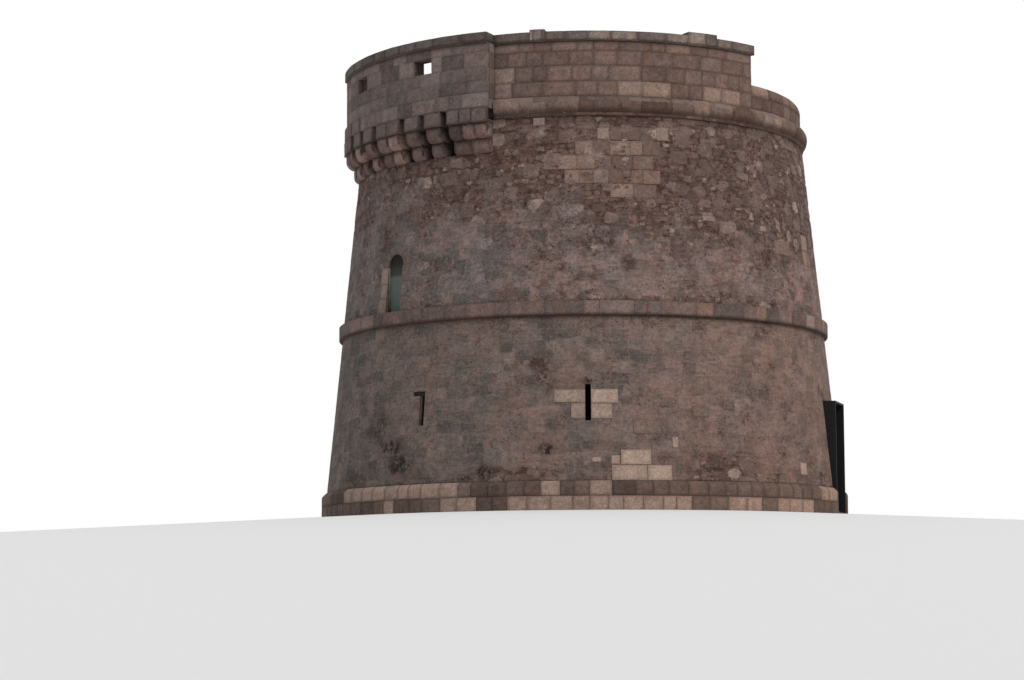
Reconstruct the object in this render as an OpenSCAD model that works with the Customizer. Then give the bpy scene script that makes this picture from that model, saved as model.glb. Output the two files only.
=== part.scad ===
// Round coastal gun tower in limestone, with a battered wall, a string course,
// a cordon and a machicolated parapet over its raised doorway.
// Bearings are in degrees round the tower: 0 looks towards -Y and 90 towards +X.
// The origin is on the tower's axis at ground level.

/* [Wall] */
// Radius that the sloping wall face would have at ground level
wall_foot_r = 7430; // [7200:10:7490]
// How far the face leans in for each metre of height
batter = 101; // [60:1:110]
// Thickness of the wall at its foot
wall_t = 2830; // [2600:10:3200]
// Height of the terrace walk behind the parapet, which is also the top of the cordon
walk_z = 11130; // [10900:10:11400]

/* [Plinth] */
// How far the plinth stands out from the wall's foot
plinth_out = 70; // [40:5:150]
// Height of the plinth, two courses of stone
plinth_h = 800; // [700:10:900]
// Chamfer along the plinth's upper edge
plinth_chamfer = 110; // [40:5:120]

/* [String course] */
// Height of the string course's underside
string_z = 5180; // [5000:10:5300]
// Height of the string course
string_h = 370; // [250:10:400]
// How far the string course stands out from the wall at its underside
string_out = 108; // [60:2:150]
// Depth of the string stones in the wall
string_bed = 400; // [300:10:500]

/* [Cordon] */
// Radius of the half round roll
roll_r = 200; // [150:5:200]
// Height of the flat band under the roll
cordon_band_h = 130; // [80:5:160]
// How far the flat band stands out from the wall
cordon_band_out = 60; // [30:5:90]

/* [Floors and vaults] */
// Height of the ground room's floor
floor_z = 150; // [50:10:250]
// Thickness of the upper room's floor
upper_floor_t = 150; // [100:10:200]
// Height of the ground room's vault springing above its floor
ground_spring_h = 3350; // [3300:10:3500]
// Rise of the ground room's vault
ground_rise = 1500; // [1200:10:1600]
// Width of the flat rim where a vault meets the wall
vault_seat = 100; // [50:10:200]
// Height of the upper room's vault springing above its floor
upper_spring_h = 2650; // [2450:10:2850]
// Rise of the upper room's vault
upper_rise = 1900; // [1700:10:2000]
// Thickness of the terrace paving
terrace_t = 300; // [200:10:400]
// Depth of the terrace paving below the walk
terrace_drop = 230; // [100:10:300]
// Width of the ledge on which the terrace paving rests
terrace_ledge = 530; // [300:10:600]

/* [Entrance] */
// Bearing of the entrance at ground level
entrance_at = 75; // [72:1:78]
// Width of the steel portal
portal_w = 1400; // [1200:10:1600]
// Height of the steel portal
portal_h = 3220; // [2900:10:3300]
// How far the portal's outer face lies back from the plinth's
portal_set = 70; // [40:10:150]
// Depth of the portal into the wall
portal_depth = 930; // [700:10:1200]
// Thickness of the portal's steel plates
portal_plate = 50; // [20:5:80]
// Height of the masonry passage behind the portal, above the floor
passage_h = 2350; // [2100:10:2600]
// Height of the stones that carry the wall over the portal
head_stone_h = 180; // [120:10:300]

/* [Slits] */
// Width of a slit at the wall face
slit_w = 130; // [100:5:160]
// Depth of the slit's narrow part
slit_throat = 350; // [250:10:500]
// Width of a slit at the room
slit_splay_w = 700; // [500:10:900]
// Height of the slit sills
slit_sill_z = 2370; // [2200:10:2450]
// Height of the front slit
front_slit_h = 960; // [800:10:1000]
// Height of the other slits
side_slit_h = 800; // [700:10:950]
// Bearing of the front slit
front_slit_at = 1; // [-4:1:6]
// Bearing of the slit left of it
left_slit_at = -37; // [-42:1:-34]

/* [Raised doorway] */
// Bearing of the raised doorway
door_at = -49; // [-51:1:-47]
// Width of the raised doorway
door_w = 650; // [550:10:750]
// Height of the raised doorway to the crown of its arch
door_h = 1610; // [1400:10:1800]
// Depth of the doorway's narrow part
door_reveal = 350; // [250:10:450]
// Width of the embrasure behind the doorway
embrasure_w = 1100; // [900:10:1300]
// Height of the embrasure behind the doorway
embrasure_h = 1950; // [1850:10:2150]
// Thickness of the fixed door panel
panel_t = 60; // [40:5:80]
// How far the panel lies back from the wall's face
panel_set = 180; // [120:10:180]

/* [Machicolation] */
// Bearing of the machicolation's middle
mach_at = -51.6; // [-53:0.1:-50]
// Half the angle that the machicolation takes, up to where it meets the wall
mach_half = 30; // [29:0.1:31]
// How far the lintel stones stand out from the parapet's line
lintel_out = 570; // [540:10:620]
// How far the machicolation's parapet stands out from the parapet's line
mach_parapet_out = 490; // [450:10:520]
// Thickness of the parapet on the machicolation
mach_parapet_t = 420; // [350:10:450]
// Depth of the machicolation's walk below the terrace walk
mach_walk_drop = 260; // [220:10:300]
// Height of the lintel stones
lintel_h = 410; // [390:10:430]
// Height of the upper corbels
upper_corbel_h = 400; // [380:10:420]
// Height of the lower corbels
lower_corbel_h = 380; // [360:10:400]
// How far the upper corbels' noses lie back from the lintel stones' face
upper_nose_set = 60; // [10:5:80]
// How far the lower corbels' noses lie back from the lintel stones' face
lower_nose_set = 280; // [240:10:320]
// Radius of the round under an upper corbel's nose
upper_round = 260; // [150:10:300]
// Radius of the round under a lower corbel's nose
lower_round = 190; // [100:10:240]
// Width of the murder holes between the corbels
hole_w = 200; // [150:10:240]
// Bearings of the three murder holes on either side of the middle
holes_at = [5.6, 12.2, 18.8];
// Thickness of the lintel stone in front of the murder hole in each end of the machicolation
side_stone_t = 150; // [120:10:200]
// Distance of that hole from the parapet's line
side_hole_set = 80; // [60:10:120]
// Depth of that hole in from the end
side_hole_depth = 300; // [250:10:350]
// Height of that hole's sill above the corbels
side_hole_sill = 100; // [80:10:150]
// Depth to which the wall is cut back behind the corbels, from the parapet's line
recess_depth = 330; // [280:10:430]
// Bearing of each gun loop from the middle
loop_at = 12.4; // [11:0.1:14]
// Width of a gun loop
loop_w = 660; // [560:10:700]
// Height of a gun loop's sill above the terrace walk
loop_sill_h = 840; // [780:10:880]
// Height of a gun loop
loop_h = 410; // [350:10:450]

/* [Parapets] */
// How far the parapets stand out from the wall's face at the walk
parapet_out = 24; // [0:2:40]
// Height of the tall parapet above the walk
tall_h = 1510; // [1450:10:1600]
// Thickness of the tall landward parapet
tall_t = 750; // [600:10:850]
// Height of the coping stones
coping_h = 260; // [200:10:300]
// How far the coping stands out
coping_out = 50; // [20:5:90]
// How much thicker the raised coping slab is
slab_extra = 95; // [40:5:140]
// How much thicker the humped coping stone is
hump_extra = 70; // [30:5:110]
// Bearing where the tall parapet ends on the seaward side
tall_end_at = 47.7; // [44:0.1:50]
// Height of the low parapet
low_h = 720; // [600:10:800]
// Radius of the low parapet's rounded outer edge
low_round = 200; // [100:10:250]

/* [Hidden] */
$fn = 360;
// Overlap of a cutter past the faces that it cuts
past = 200;
// Overlap between two shapes that are fused
lap = 1;
stone = "#8c7468";
pale_stone = "#b8a48e";
steel = "#1c1a1c";
room_r = wall_foot_r - wall_t;
plinth_r = wall_foot_r + plinth_out;
string_top = string_z + string_h;
cordon_z = walk_z - 2 * roll_r - cordon_band_h;
roll_z = walk_z - roll_r;
terrace_z = walk_z - terrace_drop;
terrace_base_z = terrace_z - terrace_t;
terrace_r = room_r + terrace_ledge;
portal_face = plinth_r - portal_set;
portal_back = portal_face - portal_depth;
ground_head_z = portal_h + head_stone_h;
string_r = wall_r(string_z) + string_out;
string_back = string_r - string_out - string_bed;
door_face = wall_r(string_top);
door_back = door_face - door_reveal;
door_head_z = string_top + embrasure_h;
door_arch_z = string_top + door_h - door_w / 2;
parapet_r = wall_r(walk_z) + parapet_out;
coping_z = walk_z + tall_h;
tall_inner_r = parapet_r - tall_t;
lintel_r = parapet_r + lintel_out;
mach_parapet_r = parapet_r + mach_parapet_out;
mach_inner_r = mach_parapet_r - mach_parapet_t;
upper_nose_r = lintel_r - upper_nose_set;
lower_nose_r = lintel_r - lower_nose_set;
recess_r = parapet_r - recess_depth;
mach_walk_z = walk_z - mach_walk_drop;
lintel_z = mach_walk_z - lintel_h;
upper_corbel_z = lintel_z - upper_corbel_h;
lower_corbel_z = upper_corbel_z - lower_corbel_h;
// Bearing from the middle to the end units, which are about as wide as they stand out
mach_turn = mach_half - 2 * asin(lintel_out / 2 / parapet_r);
side_hole_back_r = parapet_r + side_hole_set;
mach_right = mach_at + mach_half;
mach_left = mach_at - mach_half;
// The low parapet mirrors the tall one about the line through the machicolation
low_end_at = 2 * mach_at - tall_end_at + 360;
// Bearing by which the tall coping passes the end of its parapet
coping_lap = asin(2 * coping_out / parapet_r);
// Bearings between which the humped stone and the raised slab of the coping lie
hump_from = -12.4;
hump_to = -8.7;
slab_from = 27.2;
slab_to = 35.6;
// Small gap between the machicolation and the start of the cordon
cordon_gap = 0.3;
cordon_from = mach_right + cordon_gap;
cordon_step = (360 - 2 * mach_half - 2 * cordon_gap) / 3;
// Bearings of the hidden slits, which repeat the front one
mirrored_slit_at = 2 * mach_at - front_slit_at;
back_slit_at = front_slit_at + 180;
// Half the angle of the bay round a slit, of that round the entrance and of that at the raised doorway
slit_bay = 6;
entrance_bay = 30;
door_bay = 11;
bay_right = entrance_at - entrance_bay;
bay_far = entrance_at + entrance_bay;
// Bearing from one plinth or string piece to the next
quarter = 90;
upper_step = (360 - 2 * mach_half) / 4;
low_middle = (tall_end_at + low_end_at) / 2;
// Radius of the wall's outer face at a height
function wall_r(z) = wall_foot_r - batter * z / 1000;
// Half the angle of a murder hole
hole_half = asin(hole_w / 2 / mach_inner_r);

// Turns a child that points along +X to a bearing
module at_bearing(a) { rotate([0, 0, a - 90]) children(); }

// Sweeps a profile of radius and height from one bearing to another
module ring(a0, a1) { rotate([0, 0, a0 - 90]) rotate_extrude(angle = a1 - a0) children(); }

// Radial slab, cut from radius r0 to r1 with parallel sides
module radial_box(a, r0, r1, w, z0, z1) {
    at_bearing(a) translate([r0, -w / 2, z0]) cube([r1 - r0, w, z1 - z0]);
}

// Profile of the wall between two heights, from an inner radius to the sloping face
module wall_profile(r, z0, z1) {
    polygon([[r, z0], [wall_r(z0), z0], [wall_r(z1), z1], [r, z1]]);
}

module plinth_profile() {
    polygon([[room_r, 0], [plinth_r, 0], [plinth_r, plinth_h - plinth_chamfer],
        [plinth_r - plinth_chamfer, plinth_h], [room_r, plinth_h]]);
}

module plinth(a0, a1) {
    color(pale_stone) difference() {
        ring(a0, a1) plinth_profile();
        entrance_cut();
    }
}

// Space of the portal and of the passage behind it
module entrance_cut() {
    radial_box(entrance_at, portal_back, plinth_r + past, portal_w, -past, portal_h);
    radial_box(entrance_at, room_r - past, portal_back + lap, portal_w, floor_z, floor_z + passage_h);
}

// Slit with a narrow throat that splays towards the room
module slit_cut(a, h) {
    face = wall_r(slit_sill_z);
    throat = face - slit_throat;
    back = room_r - past;
    at_bearing(a) translate([0, 0, slit_sill_z]) linear_extrude(h)
        polygon([[face + past, -slit_w / 2], [throat, -slit_w / 2], [back, -slit_splay_w / 2],
            [back, slit_splay_w / 2], [throat, slit_w / 2], [face + past, slit_w / 2]]);
}

module ground_wall(a0, a1) {
    color(stone) ring(a0, a1) wall_profile(room_r, plinth_h, string_z);
}

// Stretch of the ground storey wall round a slit
module ground_slit_bay(a, h) {
    difference() {
        ground_wall(a - slit_bay, a + slit_bay);
        slit_cut(a, h);
    }
}

module ground_slit_bays() {
    ground_slit_bay(front_slit_at, front_slit_h);
    ground_slit_bay(left_slit_at, side_slit_h);
    ground_slit_bay(mirrored_slit_at, side_slit_h);
    ground_slit_bay(back_slit_at, side_slit_h);
}

module ground_wall_beside_door(a0, a1) {
    color(stone) difference() {
        ring(a0, a1) wall_profile(room_r, plinth_h, ground_head_z);
        entrance_cut();
    }
}

module ground_wall_over_door() {
    color(stone) ring(bay_right, bay_far) wall_profile(room_r, ground_head_z, string_z);
}

module ground_floor() {
    color(stone) cylinder(h = floor_z, r = room_r);
}

// Shallow dome under a flat floor
module vault(spring_z, rise, top_z) {
    half_span = room_r - vault_seat;
    dome_r = (half_span * half_span + rise * rise) / (2 * rise);
    color(stone) difference() {
        translate([0, 0, spring_z]) cylinder(h = top_z - spring_z, r = room_r);
        translate([0, 0, spring_z + rise - dome_r]) sphere(r = dome_r);
    }
}

module ground_vault() { vault(floor_z + ground_spring_h, ground_rise, string_top - upper_floor_t); }
module upper_vault() { vault(string_top + upper_spring_h, upper_rise, terrace_base_z); }

module entrance_portal() {
    color(steel) difference() {
        radial_box(entrance_at, portal_back, portal_face, portal_w, 0, portal_h);
        radial_box(entrance_at, portal_back - past, portal_face + past, portal_w - 2 * portal_plate,
            floor_z, portal_h - portal_plate);
    }
}

module string_course(a0, a1) {
    color(stone) ring(a0, a1)
        translate([string_back, string_z]) square([string_r - string_back, string_h]);
}

// Profile of the upper wall, notched for the string course, the terrace and the cordon
module upper_wall_profile() {
    polygon([[room_r, string_z], [string_back, string_z], [string_back, string_top],
        [wall_r(string_top), string_top], [wall_r(cordon_z), cordon_z], [recess_r, cordon_z],
        [recess_r, walk_z], [terrace_r, walk_z], [terrace_r, terrace_base_z], [room_r, terrace_base_z]]);
}

module upper_wall(a0, a1) {
    color(stone) ring(a0, a1) upper_wall_profile();
}

// Space of the raised doorway, with its round arch and the embrasure behind it
module raised_door_cut() {
    radial_box(door_at, door_back - lap, door_face + past, door_w, string_top, door_arch_z);
    at_bearing(door_at) translate([door_back - lap, 0, door_arch_z]) rotate([0, 90, 0])
        cylinder(h = door_reveal + past + lap, d = door_w);
    radial_box(door_at, room_r - past, door_back, embrasure_w, string_top, door_head_z + past);
}

// Upper wall beside the raised doorway, up to the head of its embrasure
module mach_wall(a0, a1) {
    color(stone) difference() {
        ring(a0, a1) polygon([[room_r, string_z], [string_back, string_z], [string_back, string_top],
            [wall_r(string_top), string_top], [wall_r(door_head_z), door_head_z], [room_r, door_head_z]]);
        raised_door_cut();
    }
}

// Upper wall over the raised doorway, cut back behind the corbels
module upper_wall_over_door() {
    color(stone) difference() {
        ring(mach_left, mach_right) polygon([[room_r, door_head_z], [wall_r(door_head_z), door_head_z],
            [wall_r(walk_z), walk_z], [terrace_r, walk_z], [terrace_r, terrace_base_z],
            [room_r, terrace_base_z]]);
        ring(mach_at - mach_turn, mach_at + mach_turn)
            translate([recess_r, lower_corbel_z]) square([past + plinth_r - recess_r, walk_z]);
    }
}

// Fixed panel that fills the raised doorway from jamb to jamb
module upper_door_panel() {
    color("#5a6a66") at_bearing(door_at) translate([door_face - panel_set - panel_t, 0, 0])
        rotate([90, 0, 90]) linear_extrude(panel_t) union() {
            translate([-door_w / 2, string_top]) square([door_w, door_arch_z - string_top]);
            translate([0, door_arch_z]) circle(d = door_w);
        }
}

module upper_floor() {
    color(stone) translate([0, 0, string_top - upper_floor_t]) cylinder(h = upper_floor_t, r = room_r);
}

module terrace_floor() {
    color(stone) translate([0, 0, terrace_base_z]) cylinder(h = terrace_t, r = terrace_r);
}

// Half round roll over a flat band
module cordon(a0, a1) {
    roll_out = wall_r(roll_z);
    band_out = wall_r(cordon_z) + cordon_band_out;
    color(stone) ring(a0, a1) union() {
        translate([recess_r, cordon_z]) square([band_out - recess_r, cordon_band_h]);
        translate([recess_r, roll_z - roll_r]) square([roll_out - recess_r, 2 * roll_r]);
        translate([roll_out, roll_z]) circle(r = roll_r);
    }
}

// Profile of a stone with a vertical nose that is rounded underneath
module nose_profile(back, nose, z, h, round) {
    intersection() {
        union() {
            translate([back, z]) square([nose - round - back, h]);
            translate([nose - round - lap, z + round]) square([round + lap, h - round]);
            translate([nose - round, z + round]) circle(r = round);
        }
        translate([back, z]) square([nose - back, h]);
    }
}

// Bearings of the solid stretches between the murder holes, from the middle outwards
mach_units = [[holes_at[0] + hole_half, holes_at[1] - hole_half],
    [holes_at[1] + hole_half, holes_at[2] - hole_half], [holes_at[2] + hole_half, mach_turn]];

// One tier of the machicolation: the stones that the murder holes leave between them
module mach_tier() {
    inner = holes_at[0] - hole_half;
    ring(mach_at - inner, mach_at + inner) children();
    for (u = mach_units) {
        ring(mach_at + u[0], mach_at + u[1]) children();
        ring(mach_at - u[1], mach_at - u[0]) children();
    }
}

// Profile of the stones in the end units, which lie against the sloping face of the wall
module corner_profile() {
    intersection() {
        union() {
            nose_profile(recess_r, lower_nose_r, lower_corbel_z, lower_corbel_h, lower_round);
            nose_profile(recess_r, upper_nose_r, upper_corbel_z, upper_corbel_h, upper_round);
            translate([recess_r, lintel_z]) square([lintel_r - recess_r, lintel_h]);
        }
        polygon([[wall_r(lower_corbel_z), lower_corbel_z], [plinth_r, lower_corbel_z],
            [plinth_r, mach_walk_z], [wall_r(mach_walk_z), mach_walk_z]]);
    }
}

// Stack of corbels and lintel stone that ends the machicolation on one side, open at its side
module corner_stack(side) {
    end_from = mach_at + (side > 0 ? mach_turn : -mach_half);
    color(stone) difference() {
        ring(end_from, end_from + mach_half - mach_turn) corner_profile();
        radial_box(mach_at + side * mach_half, side_hole_back_r, lintel_r - side_stone_t,
            2 * side_hole_depth, lintel_z + side_hole_sill, mach_walk_z + past);
    }
}

module corner_stones() {
    corner_stack(-1);
    corner_stack(1);
}

module corbels_lower() {
    color(stone) mach_tier()
        nose_profile(recess_r, lower_nose_r, lower_corbel_z, lower_corbel_h, lower_round);
}

module corbels_upper() {
    color(stone) mach_tier()
        nose_profile(recess_r, upper_nose_r, upper_corbel_z, upper_corbel_h, upper_round);
}

module lintel_stones() {
    color(stone) mach_tier()
        translate([recess_r, lintel_z]) square([lintel_r - recess_r, lintel_h]);
}

module machicolation_parapet(side) {
    from = side > 0 ? mach_at : mach_at - mach_turn;
    color(stone) difference() {
        ring(from, from + mach_turn) translate([mach_inner_r, mach_walk_z])
            square([mach_parapet_t, coping_z - mach_walk_z]);
        radial_box(mach_at + side * loop_at, mach_inner_r - past, mach_parapet_r + past, loop_w,
            walk_z + loop_sill_h, walk_z + loop_sill_h + loop_h);
    }
}

module machicolation_coping() {
    color(stone) ring(mach_at - mach_turn, mach_at + mach_turn)
        translate([mach_inner_r - coping_out, coping_z])
            square([mach_parapet_t + 2 * coping_out, coping_h]);
}

// End of the machicolation's wall and coping, as thick as both parapets together
module mach_end(side) {
    end_from = mach_at + (side > 0 ? mach_turn : -mach_half);
    top_z = coping_z + coping_h;
    coping_inner_r = tall_inner_r - coping_out;
    coping_outer_r = mach_parapet_r + coping_out;
    color(stone) ring(end_from, end_from + mach_half - mach_turn)
        polygon([[tall_inner_r, walk_z], [wall_r(walk_z), walk_z], [wall_r(mach_walk_z), mach_walk_z],
            [mach_parapet_r, mach_walk_z], [mach_parapet_r, coping_z], [coping_outer_r, coping_z],
            [coping_outer_r, top_z], [coping_inner_r, top_z], [coping_inner_r, coping_z],
            [tall_inner_r, coping_z]]);
}

module machicolation_ends() {
    mach_end(-1);
    mach_end(1);
}

module tall_parapet(a0, a1) {
    color(stone) ring(a0, a1)
        translate([tall_inner_r, walk_z]) square([tall_t, coping_z - walk_z]);
}

// Coping stones of the tall parapet, with what some are thicker than the rest
module tall_coping(a0, a1, extra = 0) {
    color(stone) ring(a0, a1) translate([tall_inner_r - coping_out, coping_z])
        square([tall_t + 2 * coping_out, coping_h + extra]);
}

module tall_coping_front() {
    tall_coping(mach_right, hump_from);
    tall_coping(hump_to, slab_from);
    tall_coping(slab_to, tall_end_at + coping_lap);
}

module raised_coping_stones() {
    tall_coping(hump_from, hump_to, hump_extra);
    tall_coping(slab_from, slab_to, slab_extra);
}

// Low parapet whose outer upper edge is rounded
module low_parapet(a0, a1) {
    color(stone) ring(a0, a1) union() {
        translate([terrace_r, walk_z]) square([parapet_r - low_round - terrace_r, low_h]);
        translate([parapet_r - low_round - lap, walk_z]) square([low_round + lap, low_h - low_round]);
        translate([parapet_r - low_round, walk_z + low_h - low_round]) circle(r = low_round);
    }
}

plinth(bay_right - quarter, bay_right);  // plinth_front
plinth(bay_right, bay_right + quarter);  // plinth_right
plinth(bay_right + quarter, bay_right + 2 * quarter);  // plinth_back
plinth(bay_right + 2 * quarter, bay_right + 3 * quarter);  // plinth_left
ground_slit_bays();  // ground_wall_slit_bays
ground_wall(front_slit_at + slit_bay, bay_right);  // ground_wall_right
ground_wall(left_slit_at + slit_bay, front_slit_at - slit_bay);  // ground_wall_front
ground_wall(mirrored_slit_at + slit_bay, left_slit_at - slit_bay);  // ground_wall_left
ground_wall(back_slit_at + slit_bay - 360, mirrored_slit_at - slit_bay);  // ground_wall_back_left
ground_wall(bay_far, back_slit_at - slit_bay);  // ground_wall_back_right
ground_wall_beside_door(bay_right, entrance_at);  // ground_wall_door_near
ground_wall_beside_door(entrance_at, bay_far);  // ground_wall_door_far
ground_wall_over_door();
ground_floor();
ground_vault();
entrance_portal();
string_course(bay_right - quarter, bay_right);  // string_course_front
string_course(bay_right, bay_right + quarter);  // string_course_right
string_course(bay_right + quarter, bay_right + 2 * quarter);  // string_course_back
string_course(bay_right + 2 * quarter, bay_right + 3 * quarter);  // string_course_left
upper_wall(mach_right, mach_right + upper_step);  // upper_wall_front
upper_wall(mach_right + upper_step, mach_right + 2 * upper_step);  // upper_wall_right
upper_wall(mach_right + 2 * upper_step, mach_right + 3 * upper_step);  // upper_wall_back
upper_wall(mach_right + 3 * upper_step, mach_right + 4 * upper_step);  // upper_wall_left
mach_wall(mach_left, door_at - door_bay);  // upper_wall_door_left
mach_wall(door_at - door_bay, door_at + door_bay);  // upper_wall_door_bay
mach_wall(door_at + door_bay, mach_right);  // upper_wall_door_right
upper_wall_over_door();
upper_door_panel();
upper_floor();
upper_vault();
terrace_floor();
cordon(cordon_from, cordon_from + cordon_step);  // cordon_front
cordon(cordon_from + cordon_step, cordon_from + 2 * cordon_step);  // cordon_right
cordon(cordon_from + 2 * cordon_step, cordon_from + 3 * cordon_step);  // cordon_back
corbels_lower();
corbels_upper();
lintel_stones();
corner_stones();
machicolation_parapet(-1);  // machicolation_parapet_left
machicolation_parapet(1);  // machicolation_parapet_right
machicolation_coping();
machicolation_ends();
tall_parapet(mach_right, tall_end_at);  // tall_parapet_front
tall_parapet(low_end_at, mach_left + 360);  // tall_parapet_back
tall_coping_front();
tall_coping(low_end_at - coping_lap, mach_left + 360);  // tall_coping_back
raised_coping_stones();
low_parapet(tall_end_at, low_middle);  // low_parapet_near
low_parapet(low_middle, low_end_at);  // low_parapet_far
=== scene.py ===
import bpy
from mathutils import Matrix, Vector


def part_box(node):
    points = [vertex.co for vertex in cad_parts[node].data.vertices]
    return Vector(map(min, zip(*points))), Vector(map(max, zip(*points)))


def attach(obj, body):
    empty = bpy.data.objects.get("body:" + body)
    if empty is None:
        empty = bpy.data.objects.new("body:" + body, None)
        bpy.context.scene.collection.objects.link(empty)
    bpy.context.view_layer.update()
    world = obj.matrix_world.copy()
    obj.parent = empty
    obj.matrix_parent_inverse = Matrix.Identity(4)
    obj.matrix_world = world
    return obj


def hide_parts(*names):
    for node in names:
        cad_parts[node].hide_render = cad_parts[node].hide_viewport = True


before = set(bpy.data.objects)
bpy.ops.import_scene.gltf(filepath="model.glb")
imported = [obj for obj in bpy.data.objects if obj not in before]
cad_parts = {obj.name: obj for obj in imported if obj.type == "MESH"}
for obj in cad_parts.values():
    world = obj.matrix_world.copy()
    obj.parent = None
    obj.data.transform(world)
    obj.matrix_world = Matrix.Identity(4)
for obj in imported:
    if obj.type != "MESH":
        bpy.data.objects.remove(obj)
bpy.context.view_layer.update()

import math
import random

import bmesh
import bpy
import numpy as np
from mathutils import Matrix

scene = bpy.context.scene
scene.view_settings.view_transform = "Standard"

# The camera stands low, a little under the tower's foot, and looks up at it.
# A long lens and a small tilt and turn keep the tower where the photograph has it.
camera_distance = 75.71
camera_height = -2.80
focal_pixels = 2634.0
photo_width = 1024
sensor_width = 36.0
camera_pitch = 6.072
camera_yaw = -1.549
camera_roll = -0.285
lens = bpy.data.cameras.new("photo_lens")
lens.sensor_width = sensor_width
lens.lens = focal_pixels * sensor_width / photo_width
lens.clip_end = 1000.0
camera = bpy.data.objects.new("camera", lens)
turn = Matrix.Rotation(math.radians(-camera_yaw), 4, "Z")
tilt = Matrix.Rotation(math.radians(90.0 + camera_pitch), 4, "X")
lean = Matrix.Rotation(math.radians(camera_roll), 4, "Z")
camera.matrix_world = Matrix.Translation((0.0, -camera_distance, camera_height)) @ turn @ tilt @ lean
scene.collection.objects.link(camera)
scene.camera = camera


# Soft light from the whole sky and one broad lamp at the right, at a plain level.
# The background is white to the camera, to mirrors and through glass, and adds no light.
class Field:
    """One socket of a node tree. Operators on it add Math nodes, so node maths reads as maths."""

    def __init__(self, tree, socket):
        self.tree = tree
        self.socket = socket

    def math(self, operation, *values):
        return self.tree.node("ShaderNodeMath", {"operation": operation}, dict(enumerate((self, *values))))[0]

    def __add__(self, other):
        return self.math("ADD", other)

    __radd__ = __add__

    def __sub__(self, other):
        return self.math("SUBTRACT", other)

    def __rsub__(self, other):
        return (self * -1.0) + other

    def __mul__(self, other):
        return self.math("MULTIPLY", other)

    __rmul__ = __mul__

    def __truediv__(self, other):
        return self.math("DIVIDE", other)

    def rising(self, low, high):
        """0 up to low, 1 from high on, and a smooth rise between them."""
        settings = {"interpolation_type": "SMOOTHSTEP"}
        return self.tree.node("ShaderNodeMapRange", settings, {"Value": self, "From Min": low, "From Max": high})[0]


class Tree:
    """A node tree, with one method that adds a node of any kind, and short ones for colours and vectors."""

    def __init__(self, node_tree):
        self.nodes = node_tree.nodes
        self.links = node_tree.links

    def node(self, kind, settings, sockets):
        made = self.nodes.new(kind)
        for name, value in settings.items():
            if name == "stops":
                while len(made.color_ramp.elements) < len(value):
                    made.color_ramp.elements.new(1.0)
                for element, (place, colour) in zip(made.color_ramp.elements, value):
                    element.position, element.color = place, colour
            else:
                setattr(made, name, value)
        for name, value in sockets.items():
            if isinstance(value, Field):
                self.links.new(value.socket, made.inputs[name])
            else:
                made.inputs[name].default_value = value
        return Outputs(self, made)

    def blend(self, factor, low, high):
        """One colour laid over another, by the Mix node's colour sockets."""
        return self.node("ShaderNodeMix", {"data_type": "RGBA"}, {0: factor, 6: low, 7: high})[2]

    def vector(self, operation, *values):
        return self.node("ShaderNodeVectorMath", {"operation": operation}, dict(enumerate(values)))[0]

    def scaled(self, vector, by):
        """A colour made lighter or darker, or a vector made longer or shorter, by a field."""
        return self.node("ShaderNodeVectorMath", {"operation": "SCALE"}, {0: vector, "Scale": by})[0]

    def parts(self, vector):
        """The three parts of a vector or colour, each as a field."""
        made = self.node("ShaderNodeSeparateXYZ", {}, {0: vector})
        return [made[axis] for axis in range(3)]


class Outputs:
    """The output sockets of a node, by name or number."""

    def __init__(self, tree, made):
        self.tree = tree
        self.made = made

    def __getitem__(self, name):
        return Field(self.tree, self.made.outputs[name])


sky_strength = 0.56
lamp_strength = 1.5
lamp_softness = 30.0
lamp_height = 38.0
lamp_side = 40.0
white = (1.0, 1.0, 1.0, 1.0)
world = bpy.data.worlds.new("studio")
world.use_nodes = True
world.node_tree.nodes.clear()
sky = Tree(world.node_tree)
path = sky.node("ShaderNodeLightPath", {}, {})
seen = path["Is Camera Ray"].math("MAXIMUM", path["Is Glossy Ray"]).math("MAXIMUM", path["Is Transmission Ray"])
lighting = sky.node("ShaderNodeBackground", {}, {"Color": white, "Strength": sky_strength})
backdrop = sky.node("ShaderNodeBackground", {}, {"Color": white, "Strength": 1.0})
shown = sky.node("ShaderNodeMixShader", {}, {0: seen, 1: lighting[0], 2: backdrop[0]})
sky.node("ShaderNodeOutputWorld", {}, {"Surface": shown[0]})
scene.world = world
lamp = bpy.data.lights.new("broad_lamp", "SUN")
lamp.energy = lamp_strength
lamp.angle = math.radians(lamp_softness)
lamp_object = bpy.data.objects.new("broad_lamp", lamp)
lamp_turn = Matrix.Rotation(math.radians(lamp_side), 4, "Z")
lamp_object.matrix_world = lamp_turn @ Matrix.Rotation(math.radians(90.0 - lamp_height), 4, "X")
scene.collection.objects.link(lamp_object)


# Pale floor, level under the tower and falling gently away round it, so that the low camera
# still looks along its upper side.
def new_piece(name, points, faces):
    """An object in the scene, with a mesh of these points and faces."""
    mesh = bpy.data.meshes.new(name)
    mesh.from_pydata(points, [], faces)
    piece = bpy.data.objects.new(name, mesh)
    scene.collection.objects.link(piece)
    return piece


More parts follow.
